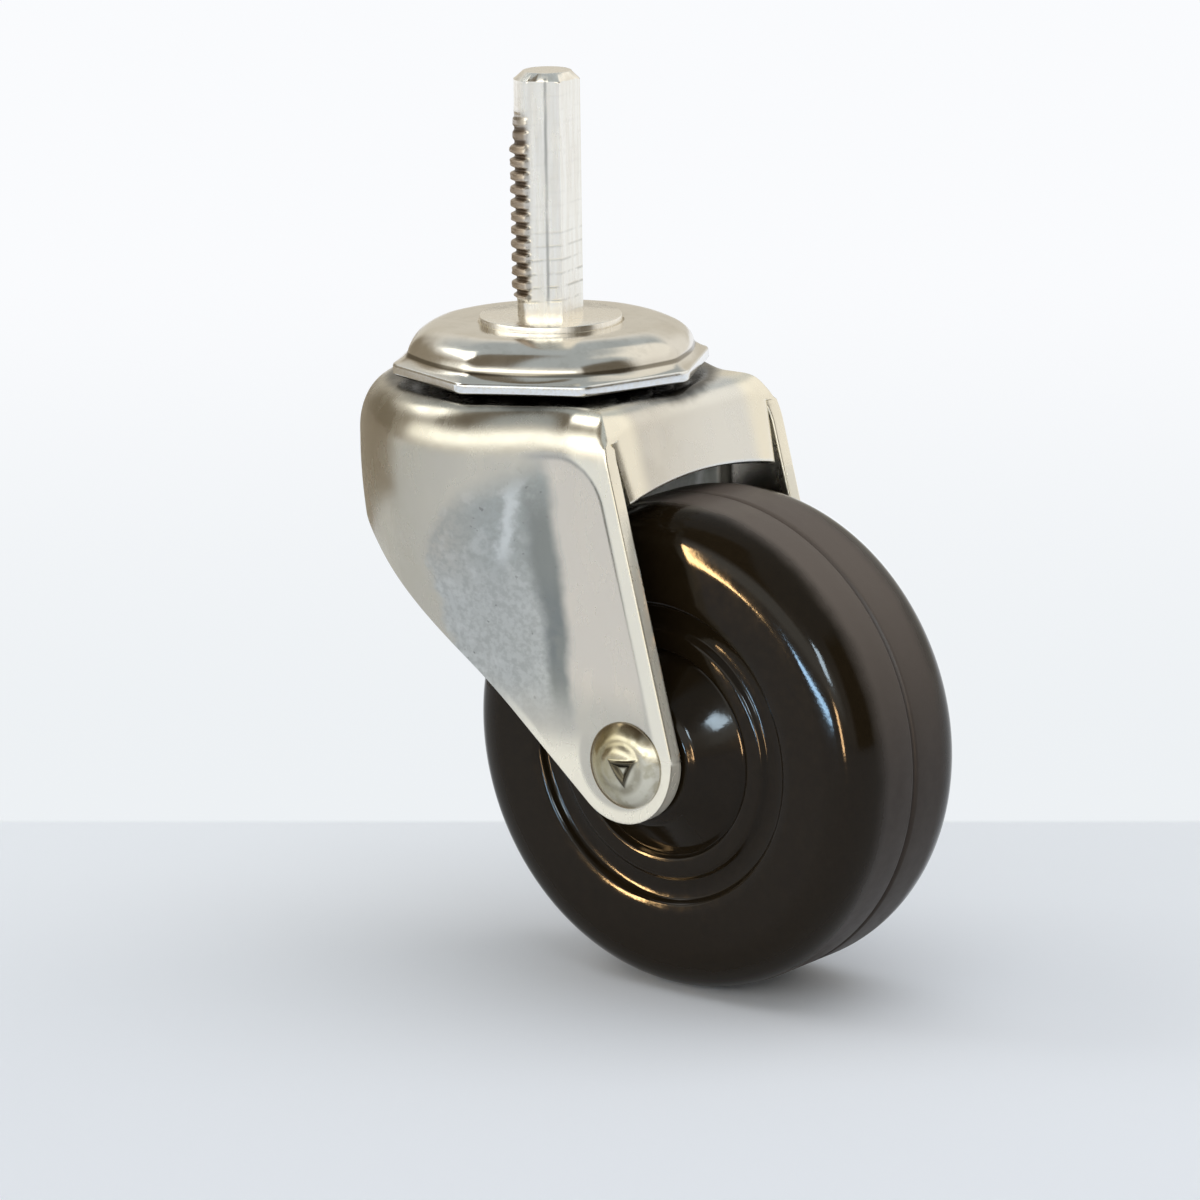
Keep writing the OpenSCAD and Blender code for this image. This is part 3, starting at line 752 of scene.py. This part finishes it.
def build_rivet(material):
    b = Build()
    ball = (RIVET_R**2 + RIVET_H**2) / (2 * RIVET_H)
    steps = 120
    rr = np.concatenate([np.linspace(0.02, 2.9, 56), np.linspace(2.9, RIVET_R - 0.12, 12)[1:]])
    th = np.linspace(0, 2 * np.pi, steps, endpoint=False)
    t, r = np.meshgrid(th, rr, indexing="ij")
    dome = np.sqrt(ball**2 - r**2) - (ball - RIVET_H)
    for side in (-1, 1):
        x, z = r * np.cos(t), r * np.sin(t)
        h = dome.copy()
        if side < 0:
            mx, mz = x - MARK_X, z + MARK_Z
            sides = [mx * math.cos(a) + mz * math.sin(a) for a in np.radians(MARK_TURNS)]
            d = np.max(sides, axis=0)
            h += 0.14 * np.exp(-(((d - 0.78) / 0.16) ** 2)) - 0.26 * (1 - ease(d, 0.25, 0.62))
            h -= 0.12 * np.exp(-(((np.hypot(x - 0.2, z) - 2.5) / 0.5) ** 2))
        seat = LEG_Y + 0.02
        p = np.stack([x + TRAIL, side * (seat + h), z + AXLE_Z], -1)
        rim = []
        for q, w in (
            (RIVET_R - 0.02, 0.12),
            (RIVET_R - 0.03, 0.03),
            (RIVET_R - 0.15, 0.0),
            (AXLE_R, 0.0),
        ):
            y = np.full(steps, side * (seat + w))
            rim.append(np.stack([q * np.cos(th) + TRAIL, y, q * np.sin(th) + AXLE_Z], -1))
        g = b.add(np.concatenate([p, np.stack(rim, 1)], 1))
        b.quads(g, wrap=True, flip=side < 0)
        b.fan(g[:, 0], (TRAIL, side * (seat + float(np.mean(h[:, 0]))), AXLE_Z), flip=side < 0)
    shank = [[AXLE_R, -LEG_Y - 0.02], [AXLE_R, LEG_Y + 0.02]]
    b.revolve(shank, 64, (TRAIL, 0, AXLE_Z), axis="y", closed=False)
    return b.object("rivet_heads", material, "swivel_fork", "axle_rivet", "rivet_steel", angle=40)


# ---------------------------------------------------------------- materials


def new_material(name):
    m = bpy.data.materials.new(name)
    return m, Nodes(m)


def band(n, value, low, high, soft):
    """1 between two limits, falling softly to 0 outside them."""
    rise = n.ramp(value, low - soft, low + soft)
    return n.times(rise, n.ramp(value, high - soft, high + soft, 1, 0))


def from_axle(n, x, z):
    """Side view coordinates from the axle, and the distance to it, in millimetres."""
    dx, dz = n.minus(n.mm(x), TRAIL), n.minus(n.mm(z), AXLE_Z)
    return dx, dz, n.length(dx, dz)


def plated(name, colour, rough, pits=1.0):
    """Plain plated metal with faint waves, smears and pits."""
    m, n = new_material(name)
    v = n.place()[0]
    smear = n.noise(v, 260, 3)
    fine = n.noise(v, 2600, 2)
    r = n.plus(n.ramp(smear, 0.3, 0.75, rough * 0.8, rough * 1.35), n.times(fine, 0.03))
    wave = n.bump(n.noise(v, 180, 2), 0.00006, 0.5 * pits)
    fine_bump = n.bump(fine, 0.00001, 0.4 * pits, wave)
    shader(n, colour, r, 1.0, fine_bump)
    return m


def fork_material():
    m, n = new_material("fork_plate")
    v, x, y, z = n.place()
    xm, zm = n.mm(x), n.mm(z)
    ym = n.math("ABSOLUTE", n.mm(y))
    side = n.ramp(ym, 8.0, 10.5)
    wobble = n.minus(n.noise(v, 420, 4, 0.6), 0.5)
    xw = n.plus(xm, n.times(wobble, 3.4))
    zw = n.plus(zm, n.times(wobble, 2.6))
    # A dull blue-grey skin covers the lower part of the bulge up to a ragged line.
    above = n.minus(n.minus(n.times(xw, 0.52), 16.4), zw)
    beside = n.minus(n.minus(n.times(xw, 1.45), 18.7), zw)
    ragged = n.times(n.minus(n.noise(v, 230, 3, 0.5), 0.5), 1.8)
    lean = n.plus(xm, n.plus(n.times(n.plus(zm, 17.0), 0.115), ragged))
    left = n.plus(n.plus(xw, 1.8), n.times(n.plus(zw, 26.0), 0.1))
    skin = n.times(n.ramp(above, -1.4, 3.0), n.ramp(beside, -1.2, 1.4), n.ramp(left, -1.0, 1.0))
    skin = n.times(skin, n.ramp(lean, 10.9, 12.7, 1, 0), n.ramp(zm, -41.0, -34.0), side)
    # Painted shade darkens the draw valley where the bulge meets the panel; darker blots lie in it
    # lower down.
    valley_shade = n.times(skin, band(n, lean, 9.2, 12.4, 0.7), n.ramp(zw, -12.5, -18.0))
    blots = n.ramp(n.noise(v, 380, 3), 0.35, 0.55)
    dark = n.times(valley_shade, band(n, zw, -33.0, -24.5, 2.5), blots, 0.75)
    streak = band(n, n.minus(xw, n.times(zw, 0.18)), 10.4, 11.6, 0.5)
    pale = n.times(skin, streak, band(n, zw, -22.0, -14.0, 2.0))
    # The flat panel of the leg lies inside a brighter rim: the rim, the edge of the tip and the low
    # rear edge carry a painted highlight.
    slope = (FRONT_LOW[0] - FRONT_TOP[0]) / (FRONT_LOW[1] - FRONT_TOP[1])
    front = n.plus(n.times(n.minus(zm, float(FRONT_TOP[1])), float(slope)), float(FRONT_TOP[0]))
    in_x = n.most(n.minus(PANEL_RIM + PANEL_ROUND, n.minus(front, xm)), 0.0)
    in_z = n.most(n.minus(PANEL_ROUND, n.minus(PANEL_TOP, zm)), 0.0)
    corner = n.length(in_x, in_z)
    inside = n.ramp(corner, 4.7, 3.9)
    panel = n.times(inside, n.ramp(xm, 9.5, 12.0), n.ramp(zm, -37.5, -33.0), side)
    tip_x, tip_z = map(float, TIP_C)
    tip_r = n.length(n.minus(xm, tip_x), n.minus(zm, tip_z))
    rim = n.times(n.ramp(xm, 12.5, 15.5), n.ramp(inside, 0, 1, 1, 0), side)
    tip_edge_highlight = n.times(n.ramp(tip_r, 4.9, 5.5), n.ramp(zm, tip_z + 3.0, tip_z - 1.0))
    fall = float((REAR_LOW[1] - SKIRT_Z) / (REAR_LOW[0] - REAR_S))
    drop = n.minus(n.minus(zm, float(REAR_LOW[1])), n.times(n.minus(xm, float(REAR_LOW[0])), fall))
    low_edge_highlight = n.times(n.ramp(drop, 1.7, 0.9), n.ramp(xm, 2.0, 7.0))
    rim = n.most(rim, n.times(n.most(tip_edge_highlight, low_edge_highlight), side))

    mottle = n.noise(v, 1500, 5, 0.62)
    soft = n.noise(v, 260, 4)
    # Painted light and shade: the plate is painted darker towards the rear, and lighter across the
    # middle (crown and apron) and on the far front side, as the light falls there. The soft patches
    # between are its own tone.
    plate = n.blend(n.ramp(xm, -13.0, 9.0), (0.47, 0.435, 0.355), (0.655, 0.62, 0.54))
    plate = n.blend(n.ramp(ym, 11.5, 8.0), plate, (0.73, 0.70, 0.64))
    plate = n.blend(n.times(n.ramp(soft, 0.35, 0.7), 0.35), plate, (0.56, 0.53, 0.47))
    far = n.ramp(n.plus(n.times(xm, 0.5), n.times(y, 500.0)), 5.0, 12.0)
    plate = n.blend(far, plate, (0.82, 0.81, 0.77))
    plate = n.blend(panel, plate, (0.76, 0.70, 0.615))
    # Painted highlight along the rim and the rounded edges.
    plate = n.blend(rim, plate, (0.95, 0.90, 0.77))
    # Painted shade: a dark line runs round the arched top of the sunk panel.
    arch = n.times(band(n, corner, 4.0, 4.5, 0.3), n.ramp(zm, -30.0, -14.0, 0.25, 0.75))
    arch = n.times(arch, n.ramp(xm, 8.5, 12.0), n.ramp(tip_edge_highlight, 1, 0), side)
    plate = n.blend(arch, plate, (0.42, 0.41, 0.38))
    grey = n.blend(n.ramp(xw, -1.0, 6.5), (0.49, 0.47, 0.425), (0.41, 0.435, 0.43))
    grey = n.blend(n.ramp(zm, -19.0, -27.0), grey, (0.53, 0.545, 0.535))
    grey = n.blend(n.times(n.ramp(mottle, 0.40, 0.62), 0.5), grey, (0.36, 0.37, 0.36))
    scuffs = n.times(n.ramp(n.noise(v, 420, 4, 0.6), 0.5, 0.7), 0.3)
    grey = n.blend(scuffs, grey, (0.72, 0.73, 0.72))
    # Painted shade in the valley, with darker blots in it.
    grey = n.blend(valley_shade, grey, (0.27, 0.285, 0.275))
    grey = n.blend(dark, grey, (0.22, 0.24, 0.245))
    grey = n.blend(n.times(pale, 0.7), grey, (0.74, 0.77, 0.78))
    pit = n.ramp(n.noise(v, 950, 3, 0.5), 0.27, 0.31, 1, 0)
    pit = n.times(pit, skin)
    grey = n.blend(n.times(pit, 0.75), grey, (0.24, 0.245, 0.24))
    colour = n.blend(skin, plate, grey)
    # Cut edges of the legs are painted pale as a painted highlight, a painted shadow lies under the
    # cap, and the inside of the fork is painted dark as shade.
    brink = n.ramp(n.minus(front, xm), 1.1, 0.6)
    brink = n.most(brink, n.times(n.ramp(tip_r, 5.7, 6.1), n.ramp(zm, tip_z + 3.0, tip_z + 1.0)))
    inner_y = LEG_Y - SHEET
    cut = band(n, ym, inner_y + 0.25, LEG_Y - 0.25, 0.15)
    cut = n.times(cut, n.ramp(zm, -15.0, -17.0), brink)
    colour = n.blend(cut, colour, (0.90, 0.86, 0.75))
    # Painted shadow: the crown is painted near black just under the cap.
    away = n.mm(n.length(x, y))
    cap_shadow = n.ramp(n.plus(away, wobble), 17.9, 16.4)
    cap_shadow = n.times(cap_shadow, n.ramp(zm, CROWN_Z - 2.0, CROWN_Z - 0.8))
    colour = n.blend(n.times(cap_shadow, 0.93), colour, (0.03, 0.025, 0.018))
    # Painted shade: the inner faces of the fork are painted near black.
    hollow_shade = n.ramp(away, CROWN_R - 1.0, CROWN_R - 1.4)
    hollow_shade = n.times(hollow_shade, n.ramp(ym, inner_y + 0.35, inner_y + 0.1))
    hollow_shade = n.times(hollow_shade, n.ramp(zm, CROWN_Z - 1.2, CROWN_Z - 1.6))
    hollow_shade = n.times(hollow_shade, n.ramp(n.minus(front, xm), 1.3, 1.6))
    colour = n.blend(n.times(hollow_shade, 0.96), colour, (0.03, 0.026, 0.018))
    smear = n.ramp(n.noise(n.stretch(v, (1, 1, 0.5)), 420, 4), 0.3, 0.75, 0.21, 0.32)
    rough = n.plus(smear, n.times(skin, 0.22))
    wave = n.bump(n.noise(v, 200, 1), 0.00006, 0.5)
    grain = n.bump(n.noise(v, 5200, 2), 0.000012, 0.35, wave)
    skin_bump = n.bump(n.times(mottle, skin), 0.00005, 0.6, grain)
    normal = n.bump(pit, 0.00003, 0.4, skin_bump)
    bsdf = shader(n, colour, rough, 1.0, normal)
    bare = n.most(cut, n.times(tip_edge_highlight, side, 0.8))
    n.put(bsdf.inputs["Metallic"], n.minus(n.ramp(skin, 0, 1, 1.0, 0.8), n.times(bare, 0.6)))
    return m


def rubber_material():
    """Glossy moulded sides and a duller, worn tread, painted paler towards the top as painted
    light.
    """
    m, n = new_material("wheel_plastic")
    v, x, y, z = n.place()
    _, dz, radius = from_axle(n, x, z)
    speck = n.noise(v, 900, 4, 0.65)
    edge = n.plus(n.math("ABSOLUTE", n.mm(y)), n.times(n.noise(v, 350, 3), 1.2))
    worn = n.times(n.ramp(edge, 7.0, 4.6), n.ramp(radius, 23.5, 24.5))
    # Painted light: the tread is painted paler towards the top, and this turns with the wheel.
    painted_top_light = n.ramp(dz, -4.0, 25.0)
    side = n.blend(speck, (0.010, 0.0065, 0.003), (0.016, 0.0105, 0.005))
    tread = n.blend(n.noise(v, 700, 4), (0.030, 0.023, 0.018), (0.050, 0.039, 0.033))
    tread = n.blend(painted_top_light, tread, (0.125, 0.103, 0.090))
    colour = n.blend(worn, side, tread)
    rough = n.plus(n.ramp(speck, 0.3, 0.8, 0.08, 0.14), n.times(worn, 0.34))
    wave = n.bump(n.noise(v, 300, 2), 0.00004, 0.35)
    normal = n.bump(n.noise(v, 3200, 2), 0.000015, 0.3, wave)
    shader(n, colour, rough, 0.0, normal, specular=0.17)
    return m


def cap_material():
    """Polished plate with a painted shade line in the crease above the flared rim, and a painted
    highlight on the rim.
    """
    m, n = new_material("cap_plate")
    v, x, y, z = n.place()
    high = n.minus(n.mm(z), float(FLANGE_TOP))
    away = n.mm(n.length(x, y))
    smear = n.noise(v, 260, 3)
    fine = n.noise(v, 2600, 2)
    colour = n.blend(n.ramp(smear, 0.3, 0.7), (0.77, 0.735, 0.665), (0.83, 0.80, 0.735))
    stain = n.times(n.ramp(n.noise(v, 900, 4, 0.6), 0.5, 0.68), 0.25)
    colour = n.blend(stain, colour, (0.60, 0.57, 0.51))
    # Painted shade: a dark line in the crease above the flare.
    outer = n.ramp(away, 13.0, 14.0)
    crease = n.times(band(n, high, 0.6, 1.05, 0.1), outer, 0.85)
    colour = n.blend(crease, colour, (0.19, 0.165, 0.125))
    flare = n.times(band(n, high, 0.03, 0.62, 0.1), outer, 0.6)
    colour = n.blend(flare, colour, (0.72, 0.68, 0.60))
    # Painted highlight: the rim's edge is painted pale bluish white, sparkling with the fine noise.
    rim = n.times(n.ramp(high, 0.0, -0.1), outer, n.ramp(fine, 0.3, 0.6, 0.4, 1.0))
    colour = n.blend(rim, colour, (0.88, 0.90, 0.91))
    rough = n.plus(n.ramp(smear, 0.3, 0.75, 0.11, 0.19), n.times(fine, 0.03))
    normal = n.bump(fine, 0.00001, 0.4, n.bump(n.noise(v, 180, 2), 0.00006, 0.5))
    shader(n, colour, rough, 1.0, normal)
    return m


def rivet_material():
    """Yellow passivated steel, painted darker towards its rear and top and round its foot as
    painted shade, and dark in the punched mark.
    """
    m, n = new_material("rivet_plate")
    v, x, y, z = n.place()
    dx, dz, radius = from_axle(n, x, z)
    near = n.ramp(n.times(y, -1000.0), 5.0, 8.0)
    cx, cz = n.minus(dx, MARK_X), n.plus(dz, MARK_Z)
    turns = [math.radians(a) for a in MARK_TURNS]
    sides = [n.plus(n.times(cx, math.cos(t)), n.times(cz, math.sin(t))) for t in turns]
    mark = n.most(n.most(sides[0], sides[1]), sides[2])
    blot = n.noise(v, 620, 4, 0.6)
    # Painted shade: the head is painted darker towards its rear and top and lighter the other way,
    # as the light falls.
    across = n.plus(n.times(dx, 0.8), n.times(dz, -0.25))
    colour = n.blend(n.ramp(across, -3.2, 2.4), (0.34, 0.285, 0.15), (0.72, 0.69, 0.58))
    colour = n.blend(n.times(n.ramp(blot, 0.45, 0.62), 0.55), colour, (0.38, 0.34, 0.22))
    ring = n.times(band(n, radius, 2.0, 2.9, 0.35), n.ramp(blot, 0.62, 0.42), 0.6)
    colour = n.blend(ring, colour, (0.22, 0.19, 0.12))
    # Painted shade round the foot of the head, heavier on the darker side.
    foot = n.times(n.ramp(radius, 3.7, 4.35), n.ramp(across, 3.2, 0.5, 0.25, 0.85))
    colour = n.blend(foot, colour, (0.20, 0.15, 0.09))
    punched = n.times(band(n, mark, 0.2, 0.95, 0.12), near, 0.95)
    colour = n.blend(punched, colour, (0.07, 0.06, 0.04))
    rough = n.ramp(n.noise(v, 420, 3), 0.3, 0.7, 0.13, 0.24)
    normal = n.bump(n.noise(v, 900, 3), 0.00003, 0.5, n.bump(n.noise(v, 300, 2), 0.00008, 0.5))
    shader(n, colour, rough, 1.0, normal)
    return m


def stem_material():
    """Bright cut steel: faint root lines run over its flats; the thread is darker and browner, and
    its roots carry painted shade.
    """
    m, n = new_material("stem_plate")
    v, x, y, z = n.place()
    zm = n.mm(z)
    turn = n.math("ARCTAN2", y, x)
    phase = n.minus(n.math("DIVIDE", zm, PITCH), n.math("DIVIDE", turn, 2 * math.pi))
    phase = n.math("FRACT", phase)
    patchy = n.ramp(n.noise(v, 700, 3), 0.35, 0.6)
    line = n.times(band(n, phase, 0.42, 0.58, 0.08), n.ramp(zm, 13.0, 2.5, 0.1, 0.9))
    line = n.times(line, n.ramp(zm, 0.5, 1.5), patchy)
    radius = n.mm(n.length(x, y))
    behind = n.ramp(n.plus(n.times(x, 0.98), n.times(y, 0.17)), -0.0002, -0.0011)
    thread = n.times(behind, n.ramp(zm, 1.6, 2.4), n.ramp(zm, 22.0, 19.0))
    # Painted shade: the roots of the thread are painted near black.
    root = n.times(thread, n.ramp(radius, 3.75, 3.42))
    # One dark line is painted on the flat that faces the camera side, a painted reflection, and is
    # also bumped in faintly.
    along = n.times(n.plus(n.times(x, 0.866), n.times(y, 0.5)), 1000.0)
    flat = n.ramp(n.minus(n.times(x, 0.5), n.times(y, 0.866)), 0.0027, 0.0029)
    bent = n.plus(along, n.times(n.noise(v, 300, 2), 0.2))
    painted_reflection_line = n.times(band(n, bent, 0.22, 0.5, 0.12), flat, n.ramp(zm, 0.8, 2.5))
    painted_reflection_line = n.times(painted_reflection_line, n.ramp(n.noise(n.stretch(v, (1, 1, 0.25)), 500, 3), 0.3, 0.6, 0.35, 1.0))
    streak = n.noise(n.stretch(v, (1, 1, 0.06)), 2600, 3)
    colour = n.blend(n.ramp(streak, 0.35, 0.65), (0.94, 0.90, 0.82), (1.0, 0.97, 0.905))
    colour = n.blend(line, colour, (0.60, 0.58, 0.52))
    colour = n.blend(painted_reflection_line, colour, (0.50, 0.49, 0.46))
    colour = n.blend(thread, colour, (0.46, 0.38, 0.30))
    colour = n.blend(root, colour, (0.11, 0.08, 0.055))
    smear = n.ramp(n.noise(n.stretch(v, (1, 1, 0.2)), 900, 3), 0.3, 0.7, 0.18, 0.30)
    wave = n.bump(n.noise(v, 420, 2), 0.00005, 0.4)
    drawn = n.bump(streak, 0.00001, 0.4, wave)
    normal = n.bump(n.plus(line, n.times(painted_reflection_line, 1.5)), 0.00006, 0.35, drawn)
    shader(n, colour, n.plus(smear, n.times(thread, 0.15)), 1.0, normal)
    return m


def build_pieces():
    build_fork(fork_material())
    build_wheel(rubber_material())
    build_cap(cap_material())
    build_stem(stem_material())
    build_rivet(rivet_material())
    cup = plated("cup_plate", (0.66, 0.64, 0.58), 0.25)
    ball = plated("ball_polish", (0.72, 0.72, 0.71), 0.07, 0.2)
    tube = plated("tube_plate", (0.66, 0.65, 0.60), 0.25)
    for o in bpy.data.objects:
        if o.type != "MESH" or not o.material_slots:
            continue
        if "ball_" in o.name:
            o.material_slots[0].material = ball
        elif o.name == "lower_race_cup":
            o.material_slots[0].material = cup
        elif o.name == "axle_tube":
            o.material_slots[0].material = tube


# ---------------------------------------------------------------- camera, floor, light

AZ, EL, ROLL = math.radians(38.779), math.radians(13.906), math.radians(0.824)
LENS, SENSOR, FAR = 176.1, 36, 0.609614
# The photograph is PICTURE pixels square, and its floor ends behind at row FLOOR_EDGE.
PICTURE, FLOOR_EDGE = 1200, 822
TARGET = np.array([5.98, 0, -29.60]) * MM
FLOOR_Z = (AXLE_Z - WHEEL_R) * MM
FLOOR_REACH, CARD_FAR = 3.0, 0.15
LAMP_AIM = Vector((0.02, 0, -0.03))
DEGREES = 57.2958


def camera_axes():
    """The camera's right, up and back directions, with its roll."""
    back = np.array([math.sin(AZ) * math.cos(EL), -math.cos(AZ) * math.cos(EL), math.sin(EL)])
    right = np.array([math.cos(AZ), math.sin(AZ), 0])
    up = np.cross(back, right)
    across = math.cos(ROLL) * right - math.sin(ROLL) * up
    upward = math.sin(ROLL) * right + math.cos(ROLL) * up
    return across, upward, back


def floor_point(px, py):
    """Where the ray through a point of the picture meets the floor."""
    across, upward, back = camera_axes()
    scale = SENSOR / LENS / PICTURE
    middle = PICTURE / 2
    ray = across * (px - middle) * scale - upward * (py - middle) * scale - back
    eye = TARGET + back * FAR
    return eye + ray * (FLOOR_Z - eye[2]) / ray[2]


def place_camera():
    across, upward, back = camera_axes()
    data = bpy.data.cameras.new("view")
    data.lens, data.sensor_width = LENS, SENSOR
    data.clip_start, data.clip_end = 0.01, 50
    cam = bpy.data.objects.new("view", data)
    m = Matrix.Identity(4)
    for i, axis in enumerate((across, upward, back, TARGET + back * FAR)):
        for j in range(3):
            m[j][i] = axis[j]
    cam.matrix_world = m
    bpy.context.scene.collection.objects.link(cam)
    bpy.context.scene.camera = cam


def place_floor():
    m, n = new_material("floor_paint")
    _, x, y, _ = n.place()
    a, b = floor_point(0, FLOOR_EDGE), floor_point(PICTURE, FLOOR_EDGE)
    along = (b - a)[:2] / np.linalg.norm((b - a)[:2])
    away = np.array([-along[1], along[0]])
    if away @ camera_axes()[2][:2] > 0:
        away = -away
    base = float(away @ a[:2])
    d = n.minus(n.plus(n.times(x, float(away[0])), n.times(y, float(away[1]))), base)
    near = n.blend(n.ramp(d, -0.14, 0.0), (0.820, 0.858, 0.945), (0.840, 0.878, 0.955))
    far = n.blend(n.ramp(d, 0.0, 0.35), (0.850, 0.880, 0.905), (0.955, 0.965, 0.985))
    beyond = n.ramp(d, -0.0006, 0.001)
    bsdf = n.new("ShaderNodeBsdfPrincipled")
    n.put(bsdf.inputs["Base Color"], near)
    bsdf.inputs["Roughness"].default_value = 0.8
    bsdf.inputs["Specular IOR Level"].default_value = 0.1
    # Far off the floor is a backdrop: where the camera or a shiny face sees it, it shows plain.
    path = n.new("ShaderNodeLightPath")
    seen = n.plus(path.outputs["Is Camera Ray"], path.outputs["Is Glossy Ray"])
    seen = n.math("MINIMUM", n.plus(seen, path.outputs["Is Transmission Ray"]), 1.0)
    glow = n.new("ShaderNodeEmission")
    n.put(glow.inputs["Color"], far)
    both = n.new("ShaderNodeMixShader")
    n.put(both.inputs[0], n.times(seen, beyond))
    n.put(both.inputs[1], bsdf.outputs[0])
    n.put(both.inputs[2], glow.outputs[0])
    out = n.new("ShaderNodeOutputMaterial")
    n.put(out.inputs["Surface"], both.outputs[0])
    r = FLOOR_REACH
    corners = [(-r, -r), (r, -r), (r, r), (-r, r)]
    mesh = bpy.data.meshes.new("floor")
    mesh.from_pydata([(cx, cy, FLOOR_Z) for cx, cy in corners], [], [(0, 1, 2, 3)])
    mesh.materials.append(m)
    floor = bpy.data.objects.new("floor", mesh)
    bpy.context.scene.collection.objects.link(floor)


def place_card(name, colour, start, stop, height):
    """A dark card beside the castor. Only shiny faces see it, as the left edge of the fork does."""
    m, n = new_material(name + "_black")
    shader(n, colour, 0.9, 0.0, specular=0.0)
    turns = np.radians(np.linspace(start, stop, 12))
    ring = [(CARD_FAR * math.sin(t), -CARD_FAR * math.cos(t)) for t in turns]
    points = [(x, y, FLOOR_Z + h) for h in (0.0, height) for x, y in ring]
    k = len(ring)
    mesh = bpy.data.meshes.new(name)
    mesh.from_pydata(points, [], [(i, i + 1, i + 1 + k, i + k) for i in range(k - 1)])
    mesh.materials.append(m)
    card = bpy.data.objects.new(name, mesh)
    bpy.context.scene.collection.objects.link(card)
    card.visible_camera = card.visible_diffuse = card.visible_shadow = False


def place_world():
    """A soft studio in patches by direction: walls and ceiling, bright openings, dark gaps."""
    world = bpy.data.worlds.new("studio")
    bpy.context.scene.world = world
    n = Nodes(world)
    v = n.new("ShaderNodeTexCoord").outputs["Generated"]
    s = n.new("ShaderNodeSeparateXYZ")
    n.put(s.inputs[0], v)
    x, y, z = s.outputs
    phi = n.times(n.math("ARCTAN2", x, n.times(y, -1.0)), DEGREES)
    elev = n.times(n.math("ARCSINE", z), DEGREES)

    def patch(under, colour, phi0, phi1, el0, el1, soft_phi, soft_el):
        fac = n.times(band(n, phi, phi0, phi1, soft_phi), band(n, elev, el0, el1, soft_el))
        return n.blend(fac, under, colour)

    c = n.blend(n.ramp(elev, 24, 46), (0.86, 0.83, 0.77), (0.43, 0.47, 0.49))
    c = patch(c, (0.66, 0.62, 0.54), -166, -114, -30, 26, 8, 6)
    c = patch(c, (0.28, 0.24, 0.18), -118, -62, -40, 28, 8, 6)
    c = patch(c, (0.17, 0.145, 0.11), -66, 4, 33, 86, 8, 6)
    c = patch(c, (3.0, 3.0, 2.85), -92, -60, 36, 56, 4, 4)
    c = patch(c, (2.1, 2.1, 1.95), -56, 50, 8, 26, 8, 4)
    c = patch(c, (0.14, 0.12, 0.09), 70, 112, -20, 44, 6, 5)
    c = patch(c, (0.98, 0.95, 0.88), 120, 178, 24, 60, 8, 8)
    bg = n.new("ShaderNodeBackground")
    n.put(bg.inputs["Color"], c)
    out = n.new("ShaderNodeOutputWorld")
    n.put(out.inputs["Surface"], bg.outputs[0])


def area(name, place, size, energy, colour, only=None):
    """A soft lamp that looks at the castor. With only, it makes a highlight on that piece alone."""
    data = bpy.data.lights.new(name, "AREA")
    data.shape = "RECTANGLE"
    data.size, data.size_y = size
    data.energy, data.color = energy, colour
    light = bpy.data.objects.new(name, data)
    light.location = Vector(place)
    light.rotation_euler = (LAMP_AIM - light.location).to_track_quat("-Z", "Y").to_euler()
    light.visible_camera = False
    bpy.context.scene.collection.objects.link(light)
    if only is None:
        light.visible_glossy = False
    else:
        light.visible_diffuse = False
        group = bpy.data.collections.new(name + "_on")
        group.objects.link(only)
        light.light_linking.receiver_collection = group


def place_lights():
    wheel = bpy.data.objects["wheel_tyre"]
    area("overhead", (0.15, 0.1, 1.1), (1.2, 1.2), 5.0, (1.0, 0.99, 0.97))
    area("door", (-0.108, -0.215, -0.005), (0.015, 0.125), 0.95, (1.0, 0.62, 0.27), wheel)
    area("door_top", (-0.129, -0.198, 0.043), (0.026, 0.03), 0.22, (1.0, 0.62, 0.27), wheel)
    area("window", (0.012, -0.252, -0.044), (0.110, 0.016), 0.36, (0.45, 0.72, 1.0), wheel)
    area("lamp", (0.150, -0.225, -0.035), (0.03, 0.06), 0.36, (1.0, 0.62, 0.30), wheel)
    area("sky", (0.25, -0.31, 0.14), (0.07, 0.09), 0.75, (0.68, 0.86, 1.0), wheel)


build_pieces()
place_camera()
place_floor()
place_card("card_left", (0.50, 0.43, 0.34), -128, -66, 0.062)
place_world()
place_lights()
bpy.context.scene.view_settings.view_transform = "Standard"
